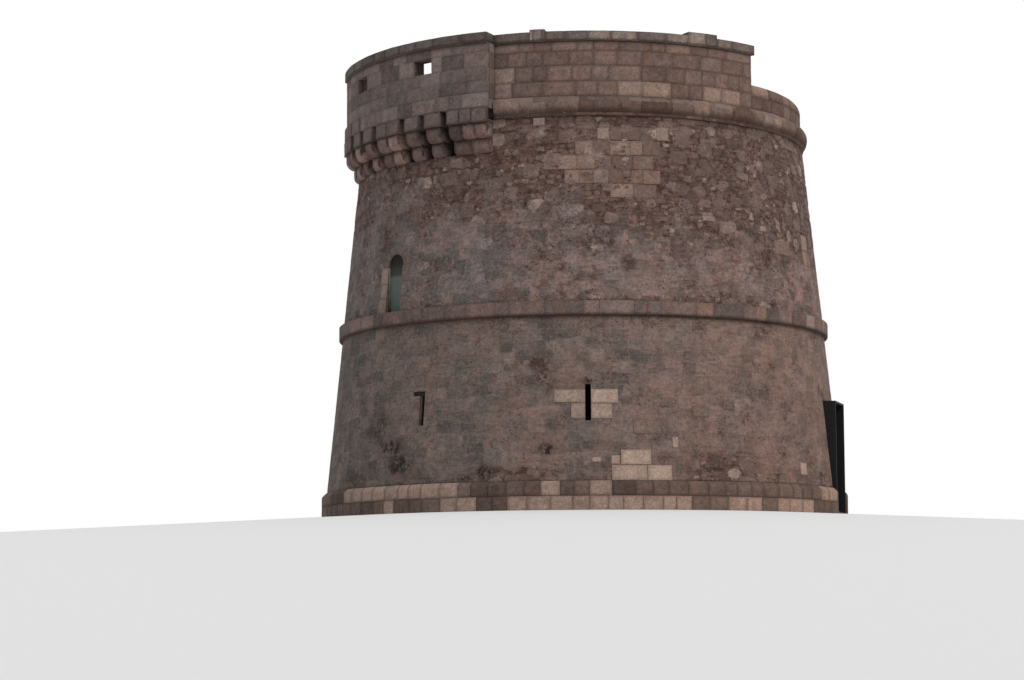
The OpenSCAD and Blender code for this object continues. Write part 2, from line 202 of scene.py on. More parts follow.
floor_level_r = 8.2
floor_edge_r = 260.0
floor_fall = math.tan(math.radians(3.4))
floor_sides = 96
floor_shade = 0.84
rim = [2.0 * math.pi * step / floor_sides for step in range(floor_sides)]
floor_points = [(0.0, 0.0, 0.0)]
for radius in (floor_level_r, floor_edge_r):
    drop = (radius - floor_level_r) * floor_fall
    floor_points += [(radius * math.cos(a), radius * math.sin(a), -drop) for a in rim]
floor_faces = []
for side in range(floor_sides):
    here, there = 1 + side, 1 + (side + 1) % floor_sides
    floor_faces += [(0, here, there), (here, here + floor_sides, there + floor_sides, there)]
floor_object = new_piece("floor", floor_points, floor_faces)
floor_paint = bpy.data.materials.new("pale_floor")
floor_paint.use_nodes = True
floor_shader = floor_paint.node_tree.nodes["Principled BSDF"]
floor_shader.inputs["Base Color"].default_value = (floor_shade, floor_shade, floor_shade, 1.0)
floor_shader.inputs["Roughness"].default_value = 0.9
floor_object.data.materials.append(floor_paint)


# Plinth: two courses of dressed limestone round the foot, bedded in lime mortar on the rubble core.
# Part of the blocks are new and pale, the others old, dark and worn, and the upper course is
# chamfered along its top.
def srgb(red, green, blue):
    """A colour given in steps of 0 to 255, as the linear values that the nodes take."""
    scaled = (c / 255.0 for c in (red, green, blue))
    return (*(c / 12.92 if c <= 0.04045 else ((c + 0.055) / 1.055) ** 2.4 for c in scaled), 1.0)


def painted(name, colour_of, height_of, roughness, bump):
    """A material: colour_of and height_of add their nodes to its tree and return their fields."""
    paint = bpy.data.materials.new(name)
    paint.use_nodes = True
    tree = Tree(paint.node_tree)
    place = tree.node("ShaderNodeTexCoord", {}, {})["Object"]
    shader = tree.nodes["Principled BSDF"]
    shader.inputs["Roughness"].default_value = roughness
    shader.inputs["Specular IOR Level"].default_value = 0.25
    colour, height = colour_of(tree, place), height_of(tree, place)
    tree.links.new(colour.socket, shader.inputs["Base Color"])
    raised = tree.node("ShaderNodeBump", {}, {"Height": height, "Strength": 1.0, "Distance": bump})
    tree.links.new(raised["Normal"].socket, shader.inputs["Normal"])
    return paint


def noise(tree, place, scale, detail, roughness, output=0):
    """A noise from 0 to 1, or with output 1 three of them as a vector."""
    sockets = {"Vector": place, "Scale": scale, "Detail": detail, "Roughness": roughness}
    return tree.node("ShaderNodeTexNoise", {}, sockets)[output]


def attribute(tree, name):
    return tree.node("ShaderNodeAttribute", {"attribute_name": name}, {})["Fac"]


def dressed_height(tree, place):
    pits = tree.node("ShaderNodeTexVoronoi", {}, {"Vector": place, "Scale": 22.0})["Distance"].rising(0.10, 0.42)
    return noise(tree, place, 9.0, 6.0, 0.7) * 0.6 + pits * 0.4


def dressed_finish(name, dark, middle, pale, bump, roughness=0.92, shade_and_stain=(0.0, -1.0), soil=0.55, cast=0.5):
    """Limestone from dark and weather-worn to new and pale, by each stone's own tone, with stains, and painted
    light: stones are painted warmer on the +x side and cooler on the -x side, as sunlight and shade.

    The stain heights give where a brown darkening starts and where it is full: painted shade under an
    overhang or along a lower edge, partly staining. soil gives how much the joints are soiled, and cast how far
    single stones differ between grey and warm."""
    tones = tuple(zip((0.0, 0.5, 1.0), (srgb(*dark), srgb(*middle), srgb(*pale))))

    def colour_of(tree, place):
        tone = attribute(tree, "tone")
        cloud = noise(tree, place, 1.7, 6.0, 0.66)
        patch = noise(tree, place, 5.0, 6.0, 0.7)
        grain = noise(tree, place, 19.0, 5.0, 0.78)
        mixed = tone + (cloud - 0.5) * 0.50 + (patch - 0.5) * 0.45
        stone = tree.node("ShaderNodeValToRGB", {"stops": tones}, {0: mixed})[0]
        warmth = (tone * 37.0).math("FRACT") * cast + (0.5 - cast / 2.0)
        grey_or_warm = tree.blend(warmth, (0.90, 0.98, 1.02, 1.0), (1.10, 0.98, 0.92, 1.0))
        stone = tree.vector("MULTIPLY", stone, grey_or_warm)
        stone = tree.scaled(stone, 1.0 + (grain - 0.5) * 1.9 + (patch - 0.5) * 1.0)
        old = (1.25 - tone).math("MINIMUM", 1.0)
        lichen = noise(tree, place, 4.5, 7.0, 0.75).rising(0.52, 0.70) * old
        stained = tree.blend(lichen * 0.5, stone, srgb(56, 48, 46))
        rust = noise(tree, place, 2.6, 4.0, 0.6).rising(0.54, 0.72) * old
        warm = tree.blend(rust * 0.36, stained, srgb(128, 86, 68))
        x, y, z = tree.parts(place)
        # Painted light: warmer towards +x and cooler towards -x, for sunlight on the right and shade on the left.
        painted_sun = tree.blend(x.rising(-6.5, 6.5), (0.97, 1.0, 1.03, 1.0), (1.05, 0.99, 0.93, 1.0))
        # Painted shade, partly staining: a brown darkening from one height to another, under overhangs and along lower
        # edges.
        brown = (z + (patch - 0.5) * 0.12).rising(*shade_and_stain)
        lit_shaded_and_stained = tree.blend(brown * 0.6, tree.vector("MULTIPLY", warm, painted_sun), srgb(60, 43, 37))
        dirt_and_shade = attribute(tree, "rim").rising(0.35, 1.0) * patch.rising(0.30, 0.60)
        return tree.blend(dirt_and_shade * soil, lit_shaded_and_stained, srgb(50, 40, 36))

    return painted(name, colour_of, dressed_height, roughness, bump)


def divided(corners, arris, step):
    """A closed section with each corner cut by the arris and long edges divided."""
    points = []
    for index, corner in enumerate(corners):
        here = np.array(corner)
        for other in (corners[index - 1], corners[(index + 1) % len(corners)]):
            away = np.array(other) - here
            points.append(here + away * min(0.45, arris / np.linalg.norm(away)))
    section = []
    for index, start in enumerate(points):
        end = points[(index + 1) % len(points)]
        parts = max(1, round(float(np.linalg.norm(end - start)) / step))
        section += [start + (end - start) * part / parts for part in range(parts)]
    return section


def rounded(middle, reach, start, end, parts):
    """Points of a section on an arc, from one angle to another, with the middle and reach in y and z."""
    return [(middle[0] + reach[0] * math.sin(a), middle[1] + reach[1] * math.cos(a))
            for a in np.linspace(start, end, parts + 1)]


def carry(piece, label, values, kind="FLOAT"):
    """Give each point of a piece a number, or a vector, under a name."""
    channel = "vector" if kind == "FLOAT_VECTOR" else "value"
    piece.data.attributes.new(label, kind, "POINT").data.foreach_set(channel, values)


def stone_shape(name, section, drawn_in, stations):
    """A stone one unit long in x with the given section in y and z, its ends drawn in a little."""
    section = [np.array(point) for point in section]
    centre = sum(section) / len(section)
    rings = [-0.5] + list(np.linspace(-0.5 + drawn_in, 0.5 - drawn_in, stations)) + [0.5]
    points = []
    for x in rings:
        shrink = 1.0 - 1.1 * drawn_in if abs(x) == 0.5 else 1.0
        points += [(x, *(centre + (point - centre) * shrink)) for point in section]
    count = len(section)
    faces = [tuple(range(count)), tuple(range(len(points) - count, len(points)))]
    for ring in range(len(rings) - 1):
        for side in range(count):
            a, b = ring * count + side, ring * count + (side + 1) % count
            faces.append((a, b, b + count, a + count))
    low, high = np.min(section, axis=0), np.max(section, axis=0)
    size = high - low
    rims = []
    for x, y, z in points:
        near = [abs(x) > 0.5 - drawn_in * 1.5, min(y - low[0], high[0] - y) < size[0] * 0.06,
                min(z - low[1], high[1] - z) < size[1] * 0.06]
        rims.append(float(sum(near) > 1))
    stone = new_piece(name, points, faces)
    carry(stone, "rim", rims)
    shape = bmesh.new()
    shape.from_mesh(stone.data)
    bmesh.ops.recalc_face_normals(shape, faces=shape.faces)
    shape.to_mesh(stone.data)
    shape.free()
    return stone


def geometry_tree(name, inputs):
    """An empty geometry tree with named inputs, and its wrapped tree and inputs."""
    group = bpy.data.node_groups.new(name, "GeometryNodeTree")
    for label, kind in inputs:
        group.interface.new_socket(label, in_out="INPUT", socket_type="NodeSocket" + kind)
    group.interface.new_socket("Made", in_out="OUTPUT", socket_type="NodeSocketGeometry")
    tree = Tree(group)
    return group, tree, tree.node("NodeGroupInput", {}, {})


def end_tree(tree, geometry, finish):
    """The end that every geometry tree has here: realized instances with their material."""
    joined = tree.node("GeometryNodeRealizeInstances", {}, {"Geometry": geometry})["Geometry"]
    done = tree.node("GeometryNodeSetMaterial", {}, {"Geometry": joined, "Material": finish})["Geometry"]
    tree.node("NodeGroupOutput", {}, {0: done})


def run_tree(piece, group, values):
    """Run a geometry tree on a piece once and keep the result as its plain mesh."""
    modifier = piece.modifiers.new(group.name, "NODES")
    modifier.node_group = group
    for item in group.interface.items_tree:
        if item.in_out == "INPUT" and item.name in values:
            modifier[item.identifier] = values[item.name]
    graph = bpy.context.evaluated_depsgraph_get()
    mesh = bpy.data.meshes.new_from_object(
        piece.evaluated_get(graph), preserve_all_data_layers=True, depsgraph=graph)
    piece.modifiers.remove(modifier)
    piece.data = mesh
    mesh.shade_smooth()


def carried(tree, label, kind="FLOAT"):
    """What the points of a piece carry under a name, in a geometry tree."""
    return tree.node("GeometryNodeInputNamedAttribute", {"data_type": kind}, {"Name": label})[0]


course_inputs = (("Points", "Geometry"), ("Stone", "Object"), ("Face radius", "Float"), ("Batter", "Float"),
                 ("Wear", "Float"), ("Finish", "Material"))
course_group, course, given = geometry_tree("course_of_stones", course_inputs)
stone_given = course.node("GeometryNodeObjectInfo", {}, {"Object": given["Stone"]})["Geometry"]
stone_size, stone_turn = (carried(course, label, "FLOAT_VECTOR") for label in ("size", "turn"))
laid = course.node("GeometryNodeInstanceOnPoints", {}, {"Points": given["Points"], "Instance": stone_given,
                                                        "Rotation": stone_turn, "Scale": stone_size})[0]
loose = course.node("GeometryNodeRealizeInstances", {}, {"Geometry": laid})[0]
straight = course.node("GeometryNodeInputPosition", {}, {})[0]
rough = noise(course, straight, 2.4, 4.0, 0.65, 1)
along, out, up = course.parts(straight)
rough_along, rough_out, rough_up = ((part - 0.5) * given["Wear"] for part in course.parts(rough))
bearing = (along + rough_along) / given["Face radius"]
reach = given["Face radius"] - up * given["Batter"] + out + rough_out * 1.4
bent = course.node("ShaderNodeCombineXYZ", {}, {
    0: reach * bearing.math("SINE"), 1: reach * bearing.math("COSINE") * -1.0, 2: up + rough_up})[0]
wrapped = course.node("GeometryNodeSetPosition", {}, {"Geometry": loose, "Position": bent})[0]
end_tree(course, wrapped, given["Finish"])


def lay_stones(name, stones, shape, face_radius, finish, wear, batter=0.0):
    """Stones given as (bearing, middle height, proud, wide, deep, tall, tone), wrapped round the tower.

    An eighth value turns the stone in the face of the wall, by that many degrees."""
    piece = new_piece(name, [(math.radians(s[0]) * face_radius, s[2], s[1]) for s in stones], [])
    carry(piece, "size", [value for s in stones for value in s[3:6]], "FLOAT_VECTOR")
    turns = [math.radians(s[7]) if len(s) > 7 else 0.0 for s in stones]
    carry(piece, "turn", [value for turned in turns for value in (0.0, turned, 0.0)], "FLOAT_VECTOR")
    carry(piece, "tone", [s[6] for s in stones])
    run_tree(piece, course_group, {"Stone": shape, "Face radius": face_radius, "Batter": batter, "Wear": wear,
                                   "Finish": finish})
    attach(piece, "root")
    return piece


def course_stones(rng, face_radius, start, end, low, high, widths, deep, tones, pale=(), joint=0.008, jog=0.008):
    """The stones of one course from one bearing to another, each between two chosen widths."""
    stones = []
    at, stop = math.radians(start) * face_radius, math.radians(end) * face_radius
    while stop - at > 0.05:
        wide = rng.uniform(*widths)
        if stop - at - wide < widths[0] * 0.7:
            wide = stop - at
        middle = math.degrees((at + wide / 2.0) / face_radius)
        tone = rng.uniform(*tones)
        if any(left <= middle <= right for left, right in pale):
            tone = rng.uniform(0.86, 1.0)
        stones.append((middle, (low + high) / 2.0, jog + rng.uniform(0.0, 1.0) * jog, wide - joint, deep,
                       high - low - joint, tone))
        at += wide
    return stones


def full_section(stones, raised=0.0, tall=1.0):
    """The same stones for a shape whose section is drawn in metres, so that only its length is scaled."""
    return [(s[0], s[1] + raised, s[2], s[3], 1.0, tall, s[6]) for s in stones]


rng = random.Random(11)
plinth_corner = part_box("plinth_right")[1]
plinth_r, plinth_h = plinth_corner[0], plinth_corner[2]
plinth_course = plinth_h / 2.0
plinth_chamfer = 0.11
plinth_deep = 0.24
block_corners = ((0.0, -0.5), (0.0, 0.5), (-1.0, 0.5), (-1.0, -0.5))
block_section = divided(block_corners, arris=0.024, step=0.25)
block = stone_shape("block", block_section, drawn_in=0.020, stations=6)
sharp_section = divided(block_corners, arris=0.014, step=0.25)
sharp_block = stone_shape("sharp_block", sharp_section, drawn_in=0.012, stations=6)
chamfer_section = divided(((0.0, -plinth_course / 2), (0.0, plinth_course / 2 - plinth_chamfer),
                           (-plinth_chamfer, plinth_course / 2), (-plinth_deep, plinth_course / 2),
                           (-plinth_deep, -plinth_course / 2)), arris=0.014, step=0.09)
chamfered_block = stone_shape("chamfered_block", chamfer_section, drawn_in=0.03, stations=6)
plinth_finish = dressed_finish("plinth_stone", (76, 62, 56), (108, 92, 84), (152, 130, 118), bump=0.02,
                               roughness=0.9, soil=0.4, cast=0.15)
new_below = ((-46.7, -43.0), (-39.5, -37.0), (-30.2, -23.8), (-16.8, 22.1), (28.9, 38.1), (44.2, 54.6),
             (96.0, 104.0), (140.0, 171.0), (201.0, 226.0), (243.0, 252.0))
new_above = ((-88.0, -84.0), (-61.0, -32.0), (-28.6, -25.0), (-9.0, -5.6), (1.0, 4.0), (60.0, 67.0),
             (88.0, 100.0), (128.0, 133.0), (179.0, 198.0), (231.0, 236.0))
portal_span = (68.8, 81.2)
for name, low, new in (("plinth_lower_blocks", 0.0, new_below), ("plinth_upper_blocks", plinth_course, new_above)):
    new += tuple((left - 360.0, right - 360.0) for left, right in new)
    stones = course_stones(rng, plinth_r, portal_span[1] - 360.0, portal_span[0], low, low + plinth_course,
                           (0.36, 0.62), deep=plinth_deep, tones=(0.05, 0.55), pale=new)
    if low:
        stones = full_section(stones, tall=0.985)
    shape = chamfered_block if low else block
    lay_stones(name, stones, shape, plinth_r, plinth_finish, wear=0.012)


# Lower wall: rubble limestone laid in rough beds, with most of its worn grey lime render still on it.
# The facing is one closed skin over the solid wall, open at the slits, and its surface follows the
# stones, the render's edge and the pits where both have fallen away.
wall_batter = 0.101
wall_foot_r = plinth_r - 0.07
mean_wall_r = 7.0
facing_step = 0.052
facing_thick = 0.05


def facing_grid(name, low, high, holes):
    """A closed skin round the tower, with rectangular openings given as (left, right, bottom, top)."""
    around = round(2.0 * math.pi * wall_foot_r / facing_step)
    turns = [360.0 * part / around for part in range(around)]
    levels = list(np.linspace(low, high, round((high - low) / facing_step) + 1))
    for left, right, bottom, top in holes:
        for edge in (left % 360.0, right % 360.0):
            turns = [t for t in turns if abs(t - edge) > 0.2] + [edge]
        for edge in (bottom, top):
            if low < edge < high:
                levels = [v for v in levels if abs(v - edge) > facing_step * 0.4] + [edge]
    turns, levels = np.array(sorted(turns)), np.array(sorted(levels))
    kept = [0, len(levels) - 1] + [int(np.argmin(abs(levels - edge))) for hole in holes for edge in hole[2:]]
    kept = sorted(set(kept))
    columns, rows, back_rows = len(turns), len(levels), len(kept)
    angle = np.radians(turns)

    def ring_points(heights, inset):
        reach = wall_foot_r - wall_batter * heights - inset
        grid = np.empty((len(heights), columns, 3))
        grid[:, :, 0] = reach[:, None] * np.sin(angle)[None, :]
        grid[:, :, 1] = -reach[:, None] * np.cos(angle)[None, :]
        grid[:, :, 2] = heights[:, None]
        return grid.reshape(-1, 3)

    points = np.vstack([ring_points(levels, 0.0), ring_points(levels[kept], facing_thick)])
    first_back = rows * columns

    def solid(turn_from, turn_to, level_from, level_to):
        middle_turn = (turn_from + (turn_to - turn_from) % 360.0 / 2.0) % 360.0
        middle_level = (level_from + level_to) / 2.0
        return not any((middle_turn - left) % 360.0 < (right - left) and bottom < middle_level < top
                       for left, right, bottom, top in holes)

    back_solid = np.array([[solid(turns[c], turns[(c + 1) % columns], levels[kept[k]], levels[kept[k + 1]])
                            for c in range(columns)] for k in range(back_rows - 1)])
    faces = []
    for k in range(back_rows - 1):
        for c in range(columns):
            d = (c + 1) % columns
            a = first_back + k * columns
            if back_solid[k, c]:
                for row in range(kept[k], kept[k + 1]):
                    b = row * columns
                    faces.append((b + c, b + d, b + columns + d, b + columns + c))
                faces.append((a + d, a + c, a + columns + c, a + columns + d))
            if back_solid[k, c] != back_solid[k, c - 1]:
                side = [row * columns + c for row in range(kept[k], kept[k + 1] + 1)] + [a + columns + c, a + c]
                faces.append(tuple(side if back_solid[k, c - 1] else side[::-1]))
    for k in range(back_rows):
        for c in range(columns):
            d = (c + 1) % columns
            below = k > 0 and back_solid[k - 1, c]
            above = k < back_rows - 1 and back_solid[k, c]
            if below != above:
                b, a = kept[k] * columns, first_back + k * columns
                edge = (b + c, b + d, a + d, a + c)
                faces.append(edge if below else edge[::-1])
    used = sorted({index for face in faces for index in face})
    order = {index: place for place, index in enumerate(used)}
    piece = new_piece(name, points[used], [tuple(order[index] for index in face) for face in faces])
    carry(piece, "skin", [float(index < first_back) for index in used])
    return piece


def aspect(at):
    """1 where the wall faces the sun and wind, 0 on its shaded side, with a smooth change between."""
    return 0.5 + 0.5 * np.sin(np.radians(at))


def turned_from(at, bearing):
    """How many degrees one bearing is from another, from -180 to 180."""
    return (at - bearing + 180.0) % 360.0 - 180.0


def hump(away, spread):
    """1 where a distance is 0, falling smoothly to 0 on both sides."""
    return np.exp(-(away / spread) ** 2)


def wall_cover(piece, base, scars, sunlit):
    """Three values at each point: how much render is left, how far a hole goes, and how much sunlight is painted into
    its colour.
    """
    place = np.empty(len(piece.data.vertices) * 3)
    piece.data.vertices.foreach_get("co", place)
    x, y, z = place.reshape(-1, 3).T
    at = np.degrees(np.arctan2(x, -y))
    cover, scar = base(at, z), np.zeros(len(z))
    for bearing, height, wide, tall, loss, pit in scars:
        across = np.radians(turned_from(at, bearing)) * mean_wall_r / (wide / 2)
        near = np.exp(-(across ** 2 + ((z - height) / (tall / 2)) ** 2) ** 1.5)
        cover -= loss * near
        scar = np.maximum(scar, pit * near)
    carry(piece, "cover", np.clip(cover, 0.0, 1.0))
    carry(piece, "scar", scar)
    # Painted light: warm is the share of sunlight painted into the wall's colour, more on the side facing the sun.
    carry(piece, "warm", sunlit * aspect(at) + 0.1)


def swayed(tree, place, broad, fine):
    """Each place moved a little by two noises, so that joints drawn from it wander."""
    moved = place
    for scale, detail, roughness, reach in ((1.3, 3.0, 0.5, broad), (6.0, 5.0, 0.7, fine)):
        drift = noise(tree, place, scale, detail, roughness, 1)
        moved = tree.vector("ADD", moved, tree.vector("MULTIPLY", drift, (reach, reach, reach)))
    return moved


def squared_rubble(tree, place, course, length):
    """Rough courses: how far each point is from a joint in metres, and two chance values a stone."""
    x, y, z = tree.parts(swayed(tree, place, 0.40, 0.13))
    row = z / course
    index = row.math("FLOOR")
    shift = tree.node("ShaderNodeTexWhiteNoise", {"noise_dimensions": "1D"}, {"W": index})[0]
    around = x.math("ARCTAN2", y * -1.0) * mean_wall_r / length + shift * 13.0 + index * 61.0
    sockets = {"W": around, "Scale": 1.0, "Randomness": 0.8}
    side = tree.node("ShaderNodeTexVoronoi", {"voronoi_dimensions": "1D", "feature": "DISTANCE_TO_EDGE"}, sockets)[0]
    chance = tree.node("ShaderNodeTexVoronoi", {"voronoi_dimensions": "1D"}, sockets)["Color"]
    level = row.math("FRACT")
    bed = level.math("MINIMUM", 1.0 - level) * course
    return (side * length).math("SMOOTH_MIN", bed, 0.03), *tree.parts(chance)[:2]


def random_rubble(tree, place):
    """Stones of all sizes with no courses, large ones and small ones between them: how far a stone stands
    clear of the mortar, 0 to 1, its chance value, and the same two for the large stones alone."""
    drifted = swayed(tree, place, 0.18, 0.11)
    ragged = (noise(tree, place, 9.0, 5.0, 0.75) - 0.5) * 0.35
    layers = []
    for wide, tall in ((0.52, 0.36), (0.22, 0.14)):
        loose = tree.vector("MULTIPLY", drifted, (1.0 / wide, 1.0 / wide, 1.0 / tall))
        sockets = {"Vector": loose, "Scale": 1.0, "Exponent": 4.0}
        cell = tree.node("ShaderNodeTexVoronoi", {"distance": "MINKOWSKI"}, sockets)
        chance, grown = tree.parts(cell["Color"])[:2]
        layers.append(((grown * 0.22 + 0.34 - cell["Distance"] + ragged).rising(0.0, 0.08), chance))
    (large, large_chance), (small, small_chance) = layers
    clear = large.math("MAXIMUM", small * 0.85)
    return clear, small_chance + (large_chance - small_chance) * large.rising(0.0, 0.2), large, large_chance


def cover_left(tree, place, cover):
    """The render's ragged edge: the written cover broken up by noise."""
    broad, fine = noise(tree, place, 1.1, 6.0, 0.68), noise(tree, place, 7.0, 5.0, 0.75)
    return (cover + (broad - 0.5) * 1.7 + (fine - 0.5) * 1.1).rising(0.30, 0.72)


relief_inputs = (("Skin", "Geometry"), ("Depth", "Float"), ("Stand off", "Float"), ("Finish", "Material"))
relief_group, relief, worn = geometry_tree("worn_masonry", relief_inputs)
spot = relief.node("GeometryNodeInputPosition", {}, {})[0]
skin, cover, scar = (carried(relief, label) for label in ("skin", "cover", "scar"))
clear, chance = random_rubble(relief, spot)[:2]
left = cover_left(relief, spot, cover)
stone_out = clear * (chance * 0.8 + 0.7) - 0.8
hollow = scar * noise(relief, spot, 3.2, 5.0, 0.7).rising(0.40, 0.62)
rolling = (noise(relief, spot, 1.6, 6.0, 0.7) - 0.5) * 1.6 + (noise(relief, spot, 6.0, 3.0, 0.7) - 0.5) * 1.0
face_out = left * 0.35 + rolling + (1.0 - left) * stone_out - hollow * 4.0
moved = (face_out * worn["Depth"] + worn["Stand off"]).math("MAXIMUM", 0.0015) * skin
outward = relief.vector("NORMALIZE", relief.vector("MULTIPLY", spot, (1.0, 1.0, 0.0)))
pushed = relief.scaled(outward, moved)
shaped = relief.node("GeometryNodeSetPosition", {}, {"Geometry": worn["Skin"], "Offset": pushed})[0]
end_tree(relief, shaped, worn["Finish"])


def wall_height(tree, place):
    clear = random_rubble(tree, place)[0]
    bare = 1.0 - cover_left(tree, place, attribute(tree, "cover"))
    return bare * clear * 0.8 + noise(tree, place, 6.0, 8.0, 0.75) * 1.4 + noise(tree, place, 30.0, 4.0, 0.75) * 0.4


def wall_finish(name, course, length, shade_and_stain, tint, showing, bump):
    """Squared stones in wide pinkish mortar with a thin grey render, rubble where both are gone, and stains, with
    painted light: each colour has a shaded and a sunlit copy, mixed by the painted sunlight, and holes, pits and
    open gaps are painted near-black as shade.

    The stain heights give where the brown darkening under the band above starts, and where it is full: painted
    shade under the band, partly staining. tint gives the cast of what is left of the render, and showing how far
    the rubble under it can be seen."""
    rubble_tones = ((0.0, srgb(88, 71, 65)), (0.5, srgb(112, 92, 85)), (0.88, srgb(128, 108, 99)),
                    (1.0, srgb(158, 140, 129)))

    def colour_of(tree, place):
        edge, chance_a, chance_b = squared_rubble(tree, place, course, length)
        clear, chance, large, large_chance = random_rubble(tree, place)
        left = cover_left(tree, place, attribute(tree, "cover"))
        cloud = noise(tree, place, 0.6, 6.0, 0.62)
        patch = noise(tree, place, 3.1, 6.0, 0.70)
        fleck = noise(tree, place, 10.0, 6.0, 0.80)
        grain = noise(tree, place, 27.0, 4.0, 0.80)
        strata = noise(tree, tree.vector("MULTIPLY", place, (2.6, 2.6, 15.0)), 1.0, 5.0, 0.70)
        # Painted light: how much sunlight each point's colour shows, from the warm value that the facing carries.
        painted_sun = (attribute(tree, "warm") + (cloud - 0.5) * 1.1).rising(0.0, 1.0)

        # One colour in shade and in sunlight, mixed by the painted sunlight.
        def sunlit_or_shaded(shaded, sunlit):
            return tree.blend(painted_sun, srgb(*shaded), srgb(*sunlit))

        squared = tree.blend(chance_a, sunlit_or_shaded((74, 75, 73), (98, 84, 78)),
                             sunlit_or_shaded((114, 106, 103), (130, 111, 103)))
        squared = tree.blend((1.0 - chance_b).rising(0.92, 0.97) * 0.5, squared, srgb(142, 126, 117))
        pink = sunlit_or_shaded((116, 99, 95), (136, 111, 102))
        wide = 1.0 - (edge + (fleck - 0.5) * 0.09 + (patch - 0.5) * 0.06).rising(0.0, 0.032)
        bedded = tree.blend(wide * (0.45 + patch.rising(0.42, 0.60) * 0.45), squared, pink)
        mixed = (cloud + (fleck - 0.5) * 0.3).rising(0.40, 0.56) * (painted_sun * 0.45 + 0.50) * showing
        grey = tree.blend(large_chance, sunlit_or_shaded((74, 76, 73), (94, 82, 76)), sunlit_or_shaded((100, 96, 92), (122, 105, 97)))
        bedded = tree.blend(mixed, bedded, tree.blend(large.rising(0.1, 0.9), pink, grey))
        bedded = tree.blend(strata.rising(0.50, 0.64) * 0.25, bedded, pink)
        # Sandy ochre patches, shown only in the painted sunlight.
        sandy = noise(tree, place, 1.15, 5.0, 0.65).rising(0.50, 0.62) * painted_sun
        bedded = tree.blend(sandy * 0.45, bedded, srgb(120, 96, 81))
        bedded = tree.vector("MULTIPLY", tree.blend(strata.rising(0.50, 0.36) * 0.35, bedded, srgb(66, 62, 60)), tint)

        earth = tree.blend(patch.rising(0.35, 0.65), srgb(76, 55, 48), srgb(108, 83, 74))
        # The earth is painted lighter and warmer in the painted sunlight.
        earth = tree.blend(painted_sun.math("MINIMUM", strata.rising(0.40, 0.60)) * 0.6, earth, srgb(128, 98, 86))
        bare = tree.node("ShaderNodeValToRGB", {"stops": rubble_tones}, {0: chance + (patch - 0.5) * 0.5})[0]
        bare = tree.scaled(tree.blend(clear * 0.85, earth, bare), 1.06 + (strata - 0.5) * 1.1)
        # Painted cool skylight: bare rubble lighter and bluer on the shaded side.
        bare = tree.vector("MULTIPLY", bare, tree.blend(painted_sun.rising(0.0, 0.5), (1.08, 1.11, 1.15, 1.0), white))
        uneven = (patch - 0.5) * 0.9 + (fleck - 0.5) * 1.8 + (grain - 0.5) * 1.7
        # The unevenness is painted stronger in shade than in sunlight.
        surface = tree.scaled(tree.blend(left, bare, bedded), 1.0 + uneven * (1.15 - painted_sun * 0.35))

        # Painted shade: holes, pits and the gaps between bare stones are painted near-black.
        speck = tree.node("ShaderNodeTexVoronoi", {}, {"Vector": place, "Scale": 9.0, "Randomness": 1.0})["Distance"]
        open_spots = noise(tree, place, 1.9, 5.0, 0.65).rising(0.46, 0.60)
        pitted = (1.0 - (speck + (grain - 0.5) * 0.4).rising(0.10, 0.34)) * open_spots * (0.9 - left * 0.25)
        crumbs = noise(tree, tree.vector("MULTIPLY", place, (9.0, 9.0, 17.0)), 1.0, 5.0, 0.8).rising(0.56, 0.67)
        pitted = pitted.math("MAXIMUM", crumbs * (open_spots * 0.65 + 0.2))
        gap = (1.0 - clear) * (1.0 - left) * fleck.rising(0.47, 0.57) * 0.75
        holes = noise(tree, place, 5.0, 6.0, 0.80).rising(0.47, 0.54).math("MAXIMUM", fleck.rising(0.48, 0.54))
        deep = (attribute(tree, "scar") * 1.3).math("MINIMUM", 1.0) * holes
        holed = tree.blend(deep.math("MAXIMUM", pitted).math("MAXIMUM", gap), surface, srgb(42, 33, 30))
        streak = noise(tree, tree.vector("MULTIPLY", place, (5.0, 5.0, 0.5)), 1.0, 6.0, 0.65).rising(0.50, 0.80)
        streaked = tree.blend(streak * 0.22, holed, srgb(62, 53, 50))
        # Painted shade, partly staining: a brown darkening of the wall's top under the band above.
        brown = (tree.parts(place)[2] + (patch - 0.5) * 0.25).rising(*shade_and_stain)
        return tree.blend(brown * 0.55, streaked, srgb(72, 51, 44))

    return painted(name, colour_of, wall_height, roughness=0.92, bump=bump)


def face_wall(name, low, high, holes, base, scars, finish, slot, sunlit, depth, stand_off):
    """One storey's facing, from its plain skin to its worn surface."""
    wall = facing_grid(name, low, high, holes)
    wall_cover(wall, base, scars, sunlit)
    run_tree(wall, relief_group, {"Depth": depth, "Stand off": stand_off, "Finish": finish})
    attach(wall, "root")


def lower_base(at, z):
    return 0.98 - 0.30 * aspect(at) - 0.22 * hump(z - 0.8, 0.5) - 0.10 * hump(z - 5.2, 0.4)


